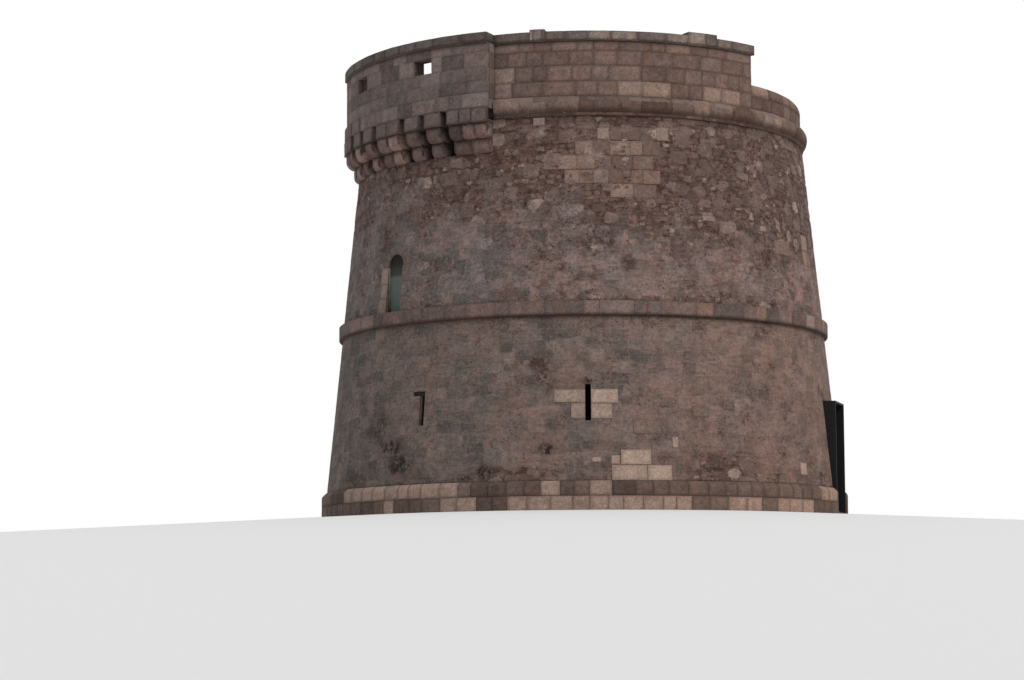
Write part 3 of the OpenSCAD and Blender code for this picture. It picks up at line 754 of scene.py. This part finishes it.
slit_sill = 2.37
slit_wide = 0.15
slit_tall = 0.80
front_slit_tall = 0.96
slit_head = slit_sill + slit_tall
slit_face = 7.19
slit_half = math.degrees(slit_wide / 2.0 / slit_face)
front_slit = (1.0 - slit_half, 1.0 + slit_half, slit_sill, slit_sill + front_slit_tall)
side_slits = [(at - slit_half, at + slit_half, slit_sill, slit_head) for at in (-37.0, -104.2, 181.0)]
lintel_groove = (-39.6, -36.3, slit_head, 3.29)
entrance_gap = (69.0, 81.0, 0.0, 3.23)
lower_scars = [(-45.6, 1.80, 0.9, 0.55, 0.4, 0.9), (-42.8, 1.35, 1.0, 0.55, 0.4, 1.0),
               (-20.8, 1.03, 0.5, 0.45, 0.4, 1.0), (-24.6, 0.92, 0.45, 0.22, 0.4, 1.0),
               (-7.7, 1.62, 0.4, 0.36, 0.3, 1.0), (-9.2, 3.91, 0.7, 0.5, 0.7, 0.6), (-8.8, 3.51, 0.4, 0.36, 0.4, 0.8),
               (-50.0, 2.3, 1.1, 1.0, 0.3, 0.6), (-60.0, 1.1, 1.4, 0.6, 0.3, 0.6), (1.0, 3.42, 0.5, 0.16, 0.4, 0.7),
               (-14.0, 1.0, 1.5, 0.4, 0.7, 0.35), (30.0, 1.2, 2.2, 0.8, 0.5, 0.3), (120.0, 1.5, 1.2, 0.8, 0.6, 0.45),
               (150.0, 3.4, 0.9, 0.7, 0.5, 0.35), (205.0, 1.2, 1.6, 0.7, 0.6, 0.45), (235.0, 2.8, 0.8, 0.9, 0.5, 0.35),
               (255.0, 1.0, 0.8, 0.5, 0.5, 0.5), (98.0, 4.3, 1.1, 0.5, 0.6, 0.3)]
# Painted shade, partly staining: the wall's top darkens under the string course.
lower_finish = wall_finish("lower_wall_masonry", course=0.30, length=0.46, shade_and_stain=(5.02, 5.17),
                           tint=(1.06, 1.00, 0.96), showing=0.6, bump=0.03)
lower_skin = (0.79, 5.20)
face_wall("lower_wall_facing", *lower_skin, [front_slit, *side_slits, lintel_groove, entrance_gap], lower_base,
          lower_scars, lower_finish, "lower_wall_masonry", sunlit=0.8, depth=0.011, stand_off=0.011)

# Upper wall: the same rubble, with its render gone near the top, so that the stones stand clear there.
# The facing leaves room for the doorway's dressed stones and stops under the machicolation.
mach_span = (-81.6, -21.6)
mach_gap = (*mach_span, 9.70, 11.0)
doorway_gap = (-52.45, -45.55, 5.0, 7.19)
upper_skin = (5.53, 10.62)


def upper_base(at, z):
    line = 8.5 - 1.2 * hump(turned_from(at, 45.0), 35.0)
    top = 1.0 / (1.0 + np.exp(-(z - line) / 0.45))
    shaded = hump(turned_from(at, -60.0), 30.0)
    return 0.72 - 0.62 * top * (1.0 - 0.5 * shaded) - 0.10 * aspect(at) - 0.2 * hump(z - 5.5, 0.25)


upper_scars = [(-11.7, 9.97, 1.9, 0.8, 0.6, 0.35), (10.5, 6.57, 0.5, 0.36, 0.6, 0.4), (15.8, 7.73, 0.4, 0.3, 0.5, 0.4),
               (68.7, 7.90, 0.6, 0.2, 0.5, 1.0), (20.0, 8.9, 1.5, 1.2, 0.5, 0.3), (35.0, 9.6, 2.0, 1.4, 0.5, 0.4),
               (-30.0, 8.7, 1.2, 0.6, 0.4, 0.3), (110.0, 8.0, 1.0, 0.8, 0.6, 0.3), (160.0, 7.2, 1.4, 0.9, 0.6, 0.3),
               (215.0, 8.8, 1.2, 0.8, 0.6, 0.3)]
# Painted shade, partly staining: the wall's top darkens under the cordon band.
upper_finish = wall_finish("upper_wall_masonry", course=0.28, length=0.42, shade_and_stain=(10.25, 10.60),
                           tint=(1.22, 1.21, 1.23), showing=1.0, bump=0.04)
face_wall("upper_wall_facing", *upper_skin, [mach_gap, doorway_gap], upper_base, upper_scars, upper_finish,
          "upper_wall_masonry", sunlit=0.95, depth=0.018, stand_off=0.016)


# Repairs in the lower wall: new sawn limestone blocks set into the old face, round the front slit
# and low down at the right, each bedded in pale mortar and standing a little proud.
def fitted(left, right, bottom, top, tone, proud=0.030, deep=0.09):
    """One stone of the wall face between two bearings and two heights."""
    joint = 0.006
    return ((left + right) / 2.0, (bottom + top) / 2.0, proud, math.radians(right - left) * wall_foot_r - joint, deep,
            top - bottom - joint, tone)


slit_left, slit_right = front_slit[0] - 0.02, front_slit[1] + 0.02
repair_finish = dressed_finish("repair_stone", (96, 84, 78), (134, 115, 106), (162, 143, 130), bump=0.010,
                               roughness=0.9, soil=0.3, cast=0.1)
repairs = [fitted(*stone) for stone in (
    (-6.2, slit_left, 2.85, 3.19, 0.75), (-2.6, slit_left, 2.42, 2.84, 0.6), (slit_right, 7.3, 2.83, 3.20, 1.0),
    (slit_right, 6.0, 2.42, 2.82, 0.8), (7.6, 13.9, 1.21, 1.60, 0.95), (5.7, 13.0, 0.80, 1.20, 0.9),
    (13.1, 18.2, 0.80, 1.20, 1.0), (18.6, 19.9, 1.66, 1.95, 0.8), (1.7, 3.5, 1.28, 1.41, 0.9),
    (5.6, 7.4, 1.22, 1.46, 0.7), (53.0, 55.5, 1.07, 1.40, 0.9), (10.3, 16.3, 2.02, 2.40, 0.25),
    (23.5, 27.3, 2.49, 2.78, 0.1), (140.0, 146.0, 1.21, 1.60, 0.7), (146.1, 151.0, 1.21, 1.60, 0.9),
    (186.0, 191.5, 2.85, 3.2, 0.7), (228.0, 233.5, 0.80, 1.20, 0.8))]
lay_stones("repair_blocks", repairs, sharp_block, wall_foot_r, repair_finish, wear=0.006,
           batter=wall_batter)

# Stones of the upper wall that stand clear of the rubble: a patch of squared blocks laid in courses
# under the cordon, and single pale stones, all limestone set in the same mortar.
ashlar_finish = dressed_finish("squared_stone", (88, 72, 66), (116, 97, 89), (140, 120, 110), bump=0.02,
                               roughness=0.9, soil=0.2)
squared = [fitted(*stone) for stone in (
    (-11.6, -8.7, 10.34, 10.56, 0.9), (3.8, 6.6, 9.93, 10.25, 1.0), (18.2, 21.3, 9.94, 10.30, 0.95),
    (46.5, 48.8, 7.70, 7.85, 1.0), (51.6, 58.7, 7.13, 7.53, 0.55), (66.0, 69.0, 7.0, 7.42, 0.8),
    (69.1, 71.5, 7.0, 7.42, 0.6), (66.0, 70.4, 7.43, 7.87, 0.9))]
for left, right, bottom, top in ((6.9, 18.0, 9.92, 10.29), (-1.5, 19.0, 9.51, 9.90), (-9.0, 17.1, 9.12, 9.50),
                                 (-4.0, 18.7, 8.73, 9.11), (6.6, 17.6, 8.35, 8.72), (112.0, 126.0, 9.2, 9.58),
                                 (118.0, 131.0, 8.81, 9.19), (190.0, 204.0, 9.5, 9.9), (226.0, 240.0, 8.2, 8.58),
                                 (-44.0, -39.5, 5.56, 5.9)):
    squared += course_stones(rng, wall_foot_r, left, right, bottom, top, (0.34, 0.72), deep=0.09, tones=(0.15, 0.92),
                             joint=0.006, jog=0.015)
lay_stones("squared_blocks", squared, sharp_block, wall_foot_r, ashlar_finish, wear=0.014,
           batter=wall_batter)

# String course: one band of dressed stones between the storeys, each built deep into the wall.
# Grey and pinkish stones alternate, their faces rough and a few of them repaired.
string_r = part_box("string_course_right")[1][0]
string_low = 5.18
string_high = 5.55
# Painted shade, partly staining: the string stones darken towards their lower edge.
string_finish = dressed_finish("string_stone", (80, 72, 69), (114, 97, 92), (142, 120, 110), bump=0.03,
                               shade_and_stain=(5.27, string_low), soil=0.25, cast=1.0)
string_stones = course_stones(rng, string_r, -172.0, 188.0, string_low, string_high, (0.30, 1.05), deep=0.3,
                              tones=(0.12, 0.72), pale=((58.0, 66.0),), joint=0.004, jog=0.007)
lay_stones("string_stones", string_stones, sharp_block, string_r, string_finish, wear=0.022)

# Cordon: a flat band of thin stones with a half round roll over it, worked on separate stones that
# are bedded on the wall head. It stops at the machicolation on both sides.
cordon_gap = 0.3
cordon_span = (mach_span[1] + cordon_gap, mach_span[0] + 360.0 - cordon_gap)
roll_r = 0.20
roll_half = 0.238
roll_back = -roll_r - 0.16
roll_z = 10.895
wall_head = 10.93
band_low = 10.60
band_high = 10.70
roll_face = wall_foot_r - wall_batter * wall_head + roll_r
band_face = wall_foot_r - wall_batter * band_low + 0.06
roll_section = rounded((-roll_r, 0.0), (roll_r, roll_half), 0.0, math.pi, 12)
roll_section += [(roll_back, -roll_half), (roll_back, roll_half)]
roll_stone = stone_shape("roll_stone", roll_section, drawn_in=0.014, stations=6)
# Painted shade, partly staining: the roll darkens on its underside.
cordon_finish = dressed_finish("cordon_stone", (70, 55, 49), (105, 87, 79), (138, 120, 110), bump=0.025,
                               shade_and_stain=(10.88, 10.71), soil=0.25, cast=0.6)
roll_stones = course_stones(rng, roll_face, *cordon_span, roll_z, roll_z, (0.36, 0.90), deep=0.2,
                            tones=(0.0, 0.92), pale=((50.0, 57.5),), jog=0.005)
lay_stones("cordon_roll", full_section(roll_stones), roll_stone, roll_face, cordon_finish,
           wear=0.016)
# The band's stones are painted darker than the roll's: painted shadow cast by the roll.
band_finish = dressed_finish("cordon_band_stone", (66, 50, 45), (86, 68, 61), (112, 92, 83), bump=0.02, cast=0.2)
band_stones = course_stones(rng, band_face, *cordon_span, band_low, band_high, (0.5, 1.0), deep=0.3,
                            tones=(0.1, 0.7), joint=0.004, jog=0.002)
lay_stones("cordon_band", band_stones, sharp_block, band_face, band_finish, wear=0.014)

# Parapets: courses of squared ashlar on the wall head, tall on the landward side and low on the
# seaward side. The tall one has a coping of long stones, two of them raised; the low one is rounded
# along its outer edge.
parapet_r = 6.33
parapet_low = 11.13
tall_front = (mach_span[1], 47.7)
tall_back = (209.1, mach_span[0] + 360.0)
coping_low = 12.64
coping_high = 12.90
coping_crown = 0.01
coping_out = 0.05
coping_deep = 0.87
coping_r = parapet_r + coping_out
# Painted shade, partly staining: the top course darkens under the coping's overhang.
parapet_finish = dressed_finish("parapet_ashlar", (74, 60, 55), (114, 95, 88), (144, 123, 112), bump=0.022,
                                shade_and_stain=(12.50, coping_low), soil=0.45, cast=0.4)
ashlar = []
for low, high, pale in ((parapet_low, 11.55, ((-21.6, -15.6), (9.7, 19.9), (30.0, 40.4))),
                        (11.55, 11.97, ((-21.6, -17.3),)), (11.97, 12.37, ()), (12.37, coping_low, ())):
    for start, end in (tall_front, tall_back):
        ashlar += course_stones(rng, parapet_r, start, end, low, high, (0.36, 0.90), deep=0.2, tones=(0.28, 0.66),
                                pale=pale, joint=0.004, jog=0.005)
lay_stones("tall_parapet_blocks", ashlar, sharp_block, parapet_r, parapet_finish, wear=0.020)
# Painted shade, partly staining: the coping darkens towards its lower edge.
coping_finish = dressed_finish("coping_stone", (76, 67, 64), (112, 100, 95), (154, 141, 134), bump=0.025,
                               shade_and_stain=(12.74, 12.65))
coping = []
for start, end, extra in ((-21.6, -12.4, 0.0), (-12.4, -11.7, 0.03), (-11.7, -9.5, 0.07), (-9.5, -8.7, 0.035),
                          (-8.7, 27.2, 0.0), (27.2, 35.6, 0.095), (35.6, 48.6, 0.0), (208.2, 278.4, 0.0)):
    coping += course_stones(rng, coping_r, start, end, coping_low, coping_high + extra + coping_crown, (0.5, 0.95),
                            deep=coping_deep, tones=(0.1, 0.8), jog=0.006)
lay_stones("tall_coping_blocks", coping, block, coping_r, coping_finish, wear=0.018)
low_span = (tall_front[1], tall_back[0])
low_middle = 11.50
low_top = 11.85
low_round = 0.20
low_deep = 1.20
low_half = (low_top - low_middle) / 2
low_pale = ((50.9, 54.0),)
low_stones = course_stones(rng, parapet_r, *low_span, parapet_low, low_middle, (0.4, 0.8), deep=0.2,
                           tones=(0.1, 0.5), pale=low_pale, jog=0.006)
lay_stones("low_parapet_blocks", low_stones, block, parapet_r, parapet_finish, wear=0.014)
round_section = rounded((-low_round, low_half - low_round), (low_round, low_round), 0.0, math.pi / 2, 6)
round_section += [(0.0, -low_half), (-0.6, -low_half), (-low_deep, -low_half), (-low_deep, low_half), (-0.8, low_half),
                  (-0.5, low_half)]
round_stone = stone_shape("round_stone", round_section, drawn_in=0.02, stations=6)
round_stones = course_stones(rng, parapet_r, *low_span, low_middle, low_top, (0.5, 0.9), deep=0.2,
                             tones=(0.1, 0.6), pale=low_pale, jog=0.006)
lay_stones("low_parapet_tops", full_section(round_stones, raised=0.006), round_stone, parapet_r, parapet_finish,
           wear=0.014)

# Machicolation: corbels in two tiers with their lower edges rounded, lintel stones over them and a
# thin parapet of squared stones. The gaps between the stones are the murder holes over the doorway.
mach_at = -51.6
mach_half = 30.0
end_lap = 0.1
lintel_face = 6.90
lower_face = 6.62
upper_face = 6.84
mach_face = 6.82
corbel_back = 6.00
mach_units = ((-mach_half, -19.7), (-17.9, -13.1), (-11.3, -6.5), (-4.7, 4.7), (6.5, 11.3), (13.1, 17.9),
              (19.7, mach_half))


def nose_section(deep, tall, round_r):
    """A corbel's section: square above, its lower outer edge rounded."""
    arris = 0.02
    half = tall / 2
    return (rounded((-round_r, round_r - half), (round_r, round_r), math.pi / 2, math.pi, 6)
            + [(-deep * 0.6, -half), (-deep, -half), (-deep, half), (-deep * 0.66, half), (-deep * 0.33, half),
               (-arris, half), (0.0, half - arris)])


def towards_end(at):
    """0 over the middle of the machicolation, rising to 1 at both its ends."""
    return min(1.0, max(0.0, (abs(at - mach_at) - 13.0) / 6.0))


corbel_finish = dressed_finish("corbel_stone", (70, 56, 52), (120, 97, 89), (156, 131, 119), bump=0.03,
                               soil=0.9, cast=0.3)
lintel_finish = dressed_finish("lintel_stone", (78, 66, 62), (106, 92, 87), (134, 118, 110), bump=0.02, soil=0.7)
for name, node, face, low, tall, round_r, width, in_from in (
        ("lower_corbel_stones", "corbels_lower", lower_face, 9.68, 0.38, 0.19, 0.50, 0.55),
        ("upper_corbel_stones", "corbels_upper", upper_face, 10.06, 0.40, 0.26, 0.43, 0.35)):
    section = nose_section(face - corbel_back, tall - 0.004, round_r)
    shape = stone_shape(name + "_shape", section, drawn_in=0.035, stations=5)
    stones = []
    for left, right in mach_units:
        start = mach_at + left + (in_from if left > -mach_half else -end_lap)
        end = mach_at + right - (in_from if right < mach_half else -end_lap)
        across = math.radians(end - start) * face
        count = max(1, round(across / width))
        for part in range(count):
            at = start + (end - start) * (part + 0.5) / count
            stones.append((at, low + tall / 2, rng.uniform(-0.02, 0.004), across / count - 0.008, 1.0, 1.0,
                           rng.uniform(0.05, 0.75)))
    piece = lay_stones(name, stones, shape, face, corbel_finish, wear=0.032)
    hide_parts(node)
    bpy.data.objects.remove(shape)

lintel_low = 10.46
lintel_tall = 0.41
lintel_z = lintel_low + lintel_tall / 2
lintel_thin = 0.15
corner_cuts = (23.0, 26.2)
hole_from = 27.5
lintels = []
for left, right in mach_units:
    stops = [left, left + (right - left) / 2.0, right] if right - left > 6.0 else [left, right]
    if right == mach_half:
        stops = [left, *corner_cuts, right + end_lap]
    elif left == -mach_half:
        stops = [left - end_lap, -corner_cuts[1], -corner_cuts[0], right]
    for start, end in zip(stops, stops[1:]):
        at = mach_at + (start + end) / 2.0
        deep = lintel_thin if max(-start, end) > mach_half else lintel_face - corbel_back
        lintels.append((at, lintel_z, rng.uniform(-0.004, 0.006) - 0.045 * (1.0 - towards_end(at)),
                        math.radians(end - start) * lintel_face - 0.006, deep, lintel_tall - 0.004,
                        rng.uniform(0.35, 0.6)))
for side in (-1, 1):
    behind = lintel_face - lintel_thin - corbel_back
    for near, far, z, tall, tone in ((corner_cuts[1], hole_from, lintel_z, lintel_tall, 0.2),
                                     (hole_from, mach_half, 10.51, 0.10, 0.1)):
        lintels.append((mach_at + side * (near + far) / 2, z, -lintel_thin, math.radians(far - near) * lintel_face,
                        behind, tall, tone))
lintel_piece = lay_stones("lintel_blocks", lintels, block, lintel_face, lintel_finish, wear=0.014)
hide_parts("lintel_stones", "corner_stones")

loop_at = 12.4
loop_half = math.degrees(0.33 / mach_face)
loop_low = 11.97
loop_high = 12.38
mach_low = 10.87
loop_stops = [mach_at + side * loop_at + edge for side in (-1, 1) for edge in (-loop_half, loop_half)]
# Painted shade, partly staining: the top course darkens under the coping.
mach_finish = dressed_finish("machicolation_stone", (76, 66, 63), (112, 98, 94), (142, 125, 117), bump=0.02,
                             shade_and_stain=(12.50, coping_low), soil=0.2, cast=0.5)
mach_ends = (mach_at - mach_half - end_lap, mach_at + mach_half + end_lap)
mach_blocks = []
for low, high in ((mach_low, 11.25), (11.25, 11.61), (11.61, loop_low), (loop_low, loop_high),
                  (loop_high, coping_low)):
    stops = [mach_ends[0], *(loop_stops if low == loop_low else []), mach_ends[1]]
    for start, end in zip(stops[::2], stops[1::2]):
        row = course_stones(rng, mach_face, start, end, low, high, (0.34, 1.00), deep=0.15, tones=(0.22, 0.76),
                            joint=0.002, jog=0.003)
        if low == mach_low:
            row = [(s[0], s[1], 0.012 + 0.055 * towards_end(s[0]), *s[3:]) for s in row]
        mach_blocks += row
lay_stones("machicolation_blocks", mach_blocks, sharp_block, mach_face, mach_finish, wear=0.012)
mach_coping_r = mach_face + coping_out
mach_coping = course_stones(rng, mach_coping_r, *mach_ends, coping_low, coping_high + coping_crown, (0.5, 0.9),
                            deep=0.54, tones=(0.1, 0.5), jog=0.006)
lay_stones("machicolation_coping_blocks", mach_coping, block, mach_coping_r, coping_finish,
           wear=0.018)

# Raised doorway: dressed jamb stones and seven arch stones in the face of the wall. The jambs are
# bedded in the wall on both sides and the arch stones taper towards the opening.
door_at = -49.0
door_face = 6.8
door_wide = 0.65
door_half = math.degrees(door_wide / 2.0 / door_face)
door_stone_deep = 0.16
jamb_foot = 5.555
arch_z = 6.835
arch_r = 0.452
arch_count = 7
arch_wide = 0.197
arch_tall = 0.25
arch_taper = 0.56
voussoir = stone_shape("voussoir", block_section, drawn_in=0.03, stations=4)
for point in voussoir.data.vertices:
    point.co.x *= 1.0 + arch_taper * point.co.z
jambs = []
for side, outer, paleness in ((-1, 0.29, 0.9), (1, 0.26, 0.6)):
    low = jamb_foot
    for tall, extra in ((0.42, 0.05), (0.40, -0.03), (0.46, 0.03)):
        outer_edge = door_half + math.degrees((outer + extra) / door_face)
        edges = sorted((door_at + side * door_half, door_at + side * outer_edge))
        jambs.append(fitted(*edges, low, low + tall, paleness - rng.uniform(0.0, 0.2), proud=0.034,
                            deep=door_stone_deep))
        low += tall
jamb_finish = dressed_finish("jamb_stone", (84, 72, 68), (110, 97, 91), (142, 126, 116), bump=0.02,
                             roughness=0.9, soil=0.2)
lay_stones("doorway_jambs", jambs, block, wall_foot_r, jamb_finish, wear=0.008,
           batter=wall_batter)
arch_face = wall_foot_r - wall_batter * arch_z
arch_stones = []
for index in range(arch_count):
    angle = -90.0 + 180.0 * (index + 0.5) / arch_count
    aside = arch_r * math.sin(math.radians(angle))
    arch_stones.append((door_at + math.degrees(aside / arch_face), arch_z + arch_r * math.cos(math.radians(angle)),
                        0.026, arch_wide, door_stone_deep, arch_tall, rng.uniform(0.3, 0.5), angle))
lay_stones("doorway_arch", arch_stones, voussoir, wall_foot_r, jamb_finish, wear=0.006,
           batter=wall_batter)


# Masonry that shows at the joints, in the openings, inside and on the wall heads: the solid walls
# themselves, of squared stones in courses with lime mortar between them.
def bonded(tree, vector, settings, joint, length, course):
    """The brick node: its joint mask and a chance value for each stone."""
    sockets = {"Vector": vector, "Color1": (0.0, 0.0, 0.0, 1.0), "Color2": white, "Mortar": (0.5, 0.5, 0.5, 1.0),
               "Scale": 1.0, "Mortar Size": joint, "Mortar Smooth": 0.4, "Bias": 0.0, "Brick Width": length,
               "Row Height": course}
    made = tree.node("ShaderNodeTexBrick", settings, sockets)
    return made["Fac"], made["Color"]


def coursed_finish(name, dark, pale, mortar, radius, course, length, first=0.0, shade_radii=None):
    """Stone in courses, the lowest one at the height given as first.

    The six radii of the painted shade give where the stone deep in the openings is painted black as shade,
    then the radii between which their outer edge, left unshaded, starts, and those between which it ends."""

    def wound(tree, place):
        x, y, z = tree.parts(place)
        flat = tree.node("ShaderNodeCombineXYZ", {}, {0: x.math("ARCTAN2", y * -1.0) * radius, 1: z - first})[0]
        return bonded(tree, flat, {"squash": 0.7, "squash_frequency": 3}, joint=0.008, length=length, course=course)

    def colour_of(tree, place):
        joint, chance = wound(tree, place)
        tone = chance * 0.55 + noise(tree, place, 1.7, 6.0, 0.65) * 0.9 - 0.25
        stone = tree.blend(tone.rising(0.0, 1.0), srgb(*dark), srgb(*pale))
        coarse, fine = noise(tree, place, 5.0, 6.0, 0.7), noise(tree, place, 24.0, 4.0, 0.75)
        light = 1.0 + (coarse - 0.5) * 0.7 + (fine - 0.5) * 0.8
        made = tree.blend(joint * 0.6, tree.scaled(stone, light), mortar)
        if not shade_radii:
            return made
        # Painted shade: deep in the wall's openings and recesses, below the cordon band, the stone is painted
        # near-black, all but their outer edge.
        x, y, z = tree.parts(place)
        inward = (x * x + y * y).math("SQRT") + z * wall_batter
        reveal = inward.rising(*shade_radii[2:4]) * (1.0 - inward.rising(*shade_radii[4:]))
        dirt_and_shade = inward.rising(*shade_radii[:2]) * (1.0 - reveal) * (1.0 - z.rising(band_low, 10.75))
        return tree.blend(dirt_and_shade * 0.93, made, srgb(20, 16, 15))

    def height_of(tree, place):
        return (1.0 - wound(tree, place)[0]) * 0.7 + noise(tree, place, 8.0, 7.0, 0.72) * 0.6

    return painted(name, colour_of, height_of, roughness=0.92, bump=0.02)


def finish_nodes(paint, *starts):
    """Give a finish to every CAD node whose name starts with one of these words."""
    for name in list(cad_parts):
        if name.startswith(starts):
            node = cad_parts[name]
            node.data.materials.clear()
            node.data.materials.append(paint)


mortar_colour = srgb(70, 57, 52)
# The wall core is painted near-black deep in its slits and recesses: painted shade.
core = coursed_finish("wall_core", (88, 72, 64), (122, 103, 91), mortar_colour, radius=6.0, course=0.36, length=0.62,
                      shade_radii=(5.2, 6.2, 7.30, 7.40, 7.420, 7.427))
bedding = coursed_finish("bedding_mortar", (84, 70, 64), (104, 88, 80), mortar_colour, radius=7.0, course=0.40,
                         length=0.50)
top_core = coursed_finish("parapet_core", (94, 79, 73), (126, 108, 99), mortar_colour, radius=parapet_r, course=0.42,
                          length=0.62, first=parapet_low)
vaulting = coursed_finish("vault_stone", (92, 79, 71), (124, 109, 98), srgb(88, 77, 69), radius=3.0, course=0.30,
                          length=0.55)
finish_nodes(core, "ground_wall", "upper_wall")
finish_nodes(bedding, "plinth", "string")
finish_nodes(top_core, "cordon", "corner", "machic", "tall", "raised", "low")
finish_nodes(vaulting, "ground_vault", "upper_vault")


# Floors: limestone flags laid flat in mortar on the vaults and on the filling of the ground storey,
# worn by feet, and the same on the open terrace.
def flag_bond(tree, place):
    return bonded(tree, place, {}, joint=0.01, length=0.7, course=0.45)


def flag_colour(tree, place):
    joint, chance = flag_bond(tree, place)
    tone = chance * 0.4 + noise(tree, place, 1.1, 6.0, 0.6)
    light = 1.0 + (noise(tree, place, 18.0, 5.0, 0.7) - 0.5) * 0.8
    stone = tree.blend(tone.rising(0.2, 1.1), srgb(84, 72, 65), srgb(122, 107, 97))
    return tree.blend(joint * 0.6, tree.scaled(stone, light), mortar_colour)


def flag_height(tree, place):
    return (1.0 - flag_bond(tree, place)[0]) * 0.5 + noise(tree, place, 7.0, 6.0, 0.7) * 0.6


flags = painted("floor_flags", flag_colour, flag_height, roughness=0.88, bump=0.015)
finish_nodes(flags, "ground_floor", "upper_floor", "terrace_floor")


# Entrance portal: a frame of folded steel plate set in the wall's opening, blackened and matt,
# with a little brown bloom and rain marks.
def steel_colour(tree, place):
    bloom = noise(tree, place, 3.0, 6.0, 0.65)
    streak = noise(tree, tree.vector("MULTIPLY", place, (9.0, 9.0, 0.6)), 1.0, 4.0, 0.6)
    dark = tree.blend(bloom.rising(0.35, 0.75), srgb(8, 7, 9), srgb(16, 13, 14))
    return tree.blend(streak.rising(0.52, 0.75) * 0.5, dark, srgb(27, 22, 21))


def steel_height(tree, place):
    return noise(tree, place, 40.0, 3.0, 0.6)


steel = painted("blackened_steel", steel_colour, steel_height, roughness=0.62, bump=0.001)
finish_nodes(steel, "entrance_portal")


# Panel in the raised doorway: one fixed sheet between the jambs, painted grey-green below, with glass
# above painted dark, darker towards the top: painted shade for the unlit room behind it.
def panel_colour(tree, place):
    height = tree.parts(place)[2]
    sheet = tree.blend(noise(tree, place, 5.0, 5.0, 0.6), srgb(76, 89, 84), srgb(98, 110, 104))
    # Painted shade: the glass darkens towards the top.
    glass = tree.blend(height.rising(6.60, 7.00), srgb(60, 62, 58), srgb(26, 22, 21))
    return tree.blend(height.rising(6.53, 6.61), sheet, glass)


def panel_height(tree, place):
    return noise(tree, place, 12.0, 3.0, 0.5)


panel = painted("door_panel", panel_colour, panel_height, roughness=0.85, bump=0.002)
finish_nodes(panel, "upper_door_panel")

# The single stones that the courses were laid with aren't pieces of the tower.
for shape in (block, chamfered_block, roll_stone, round_stone, sharp_block, voussoir):
    bpy.data.objects.remove(shape)
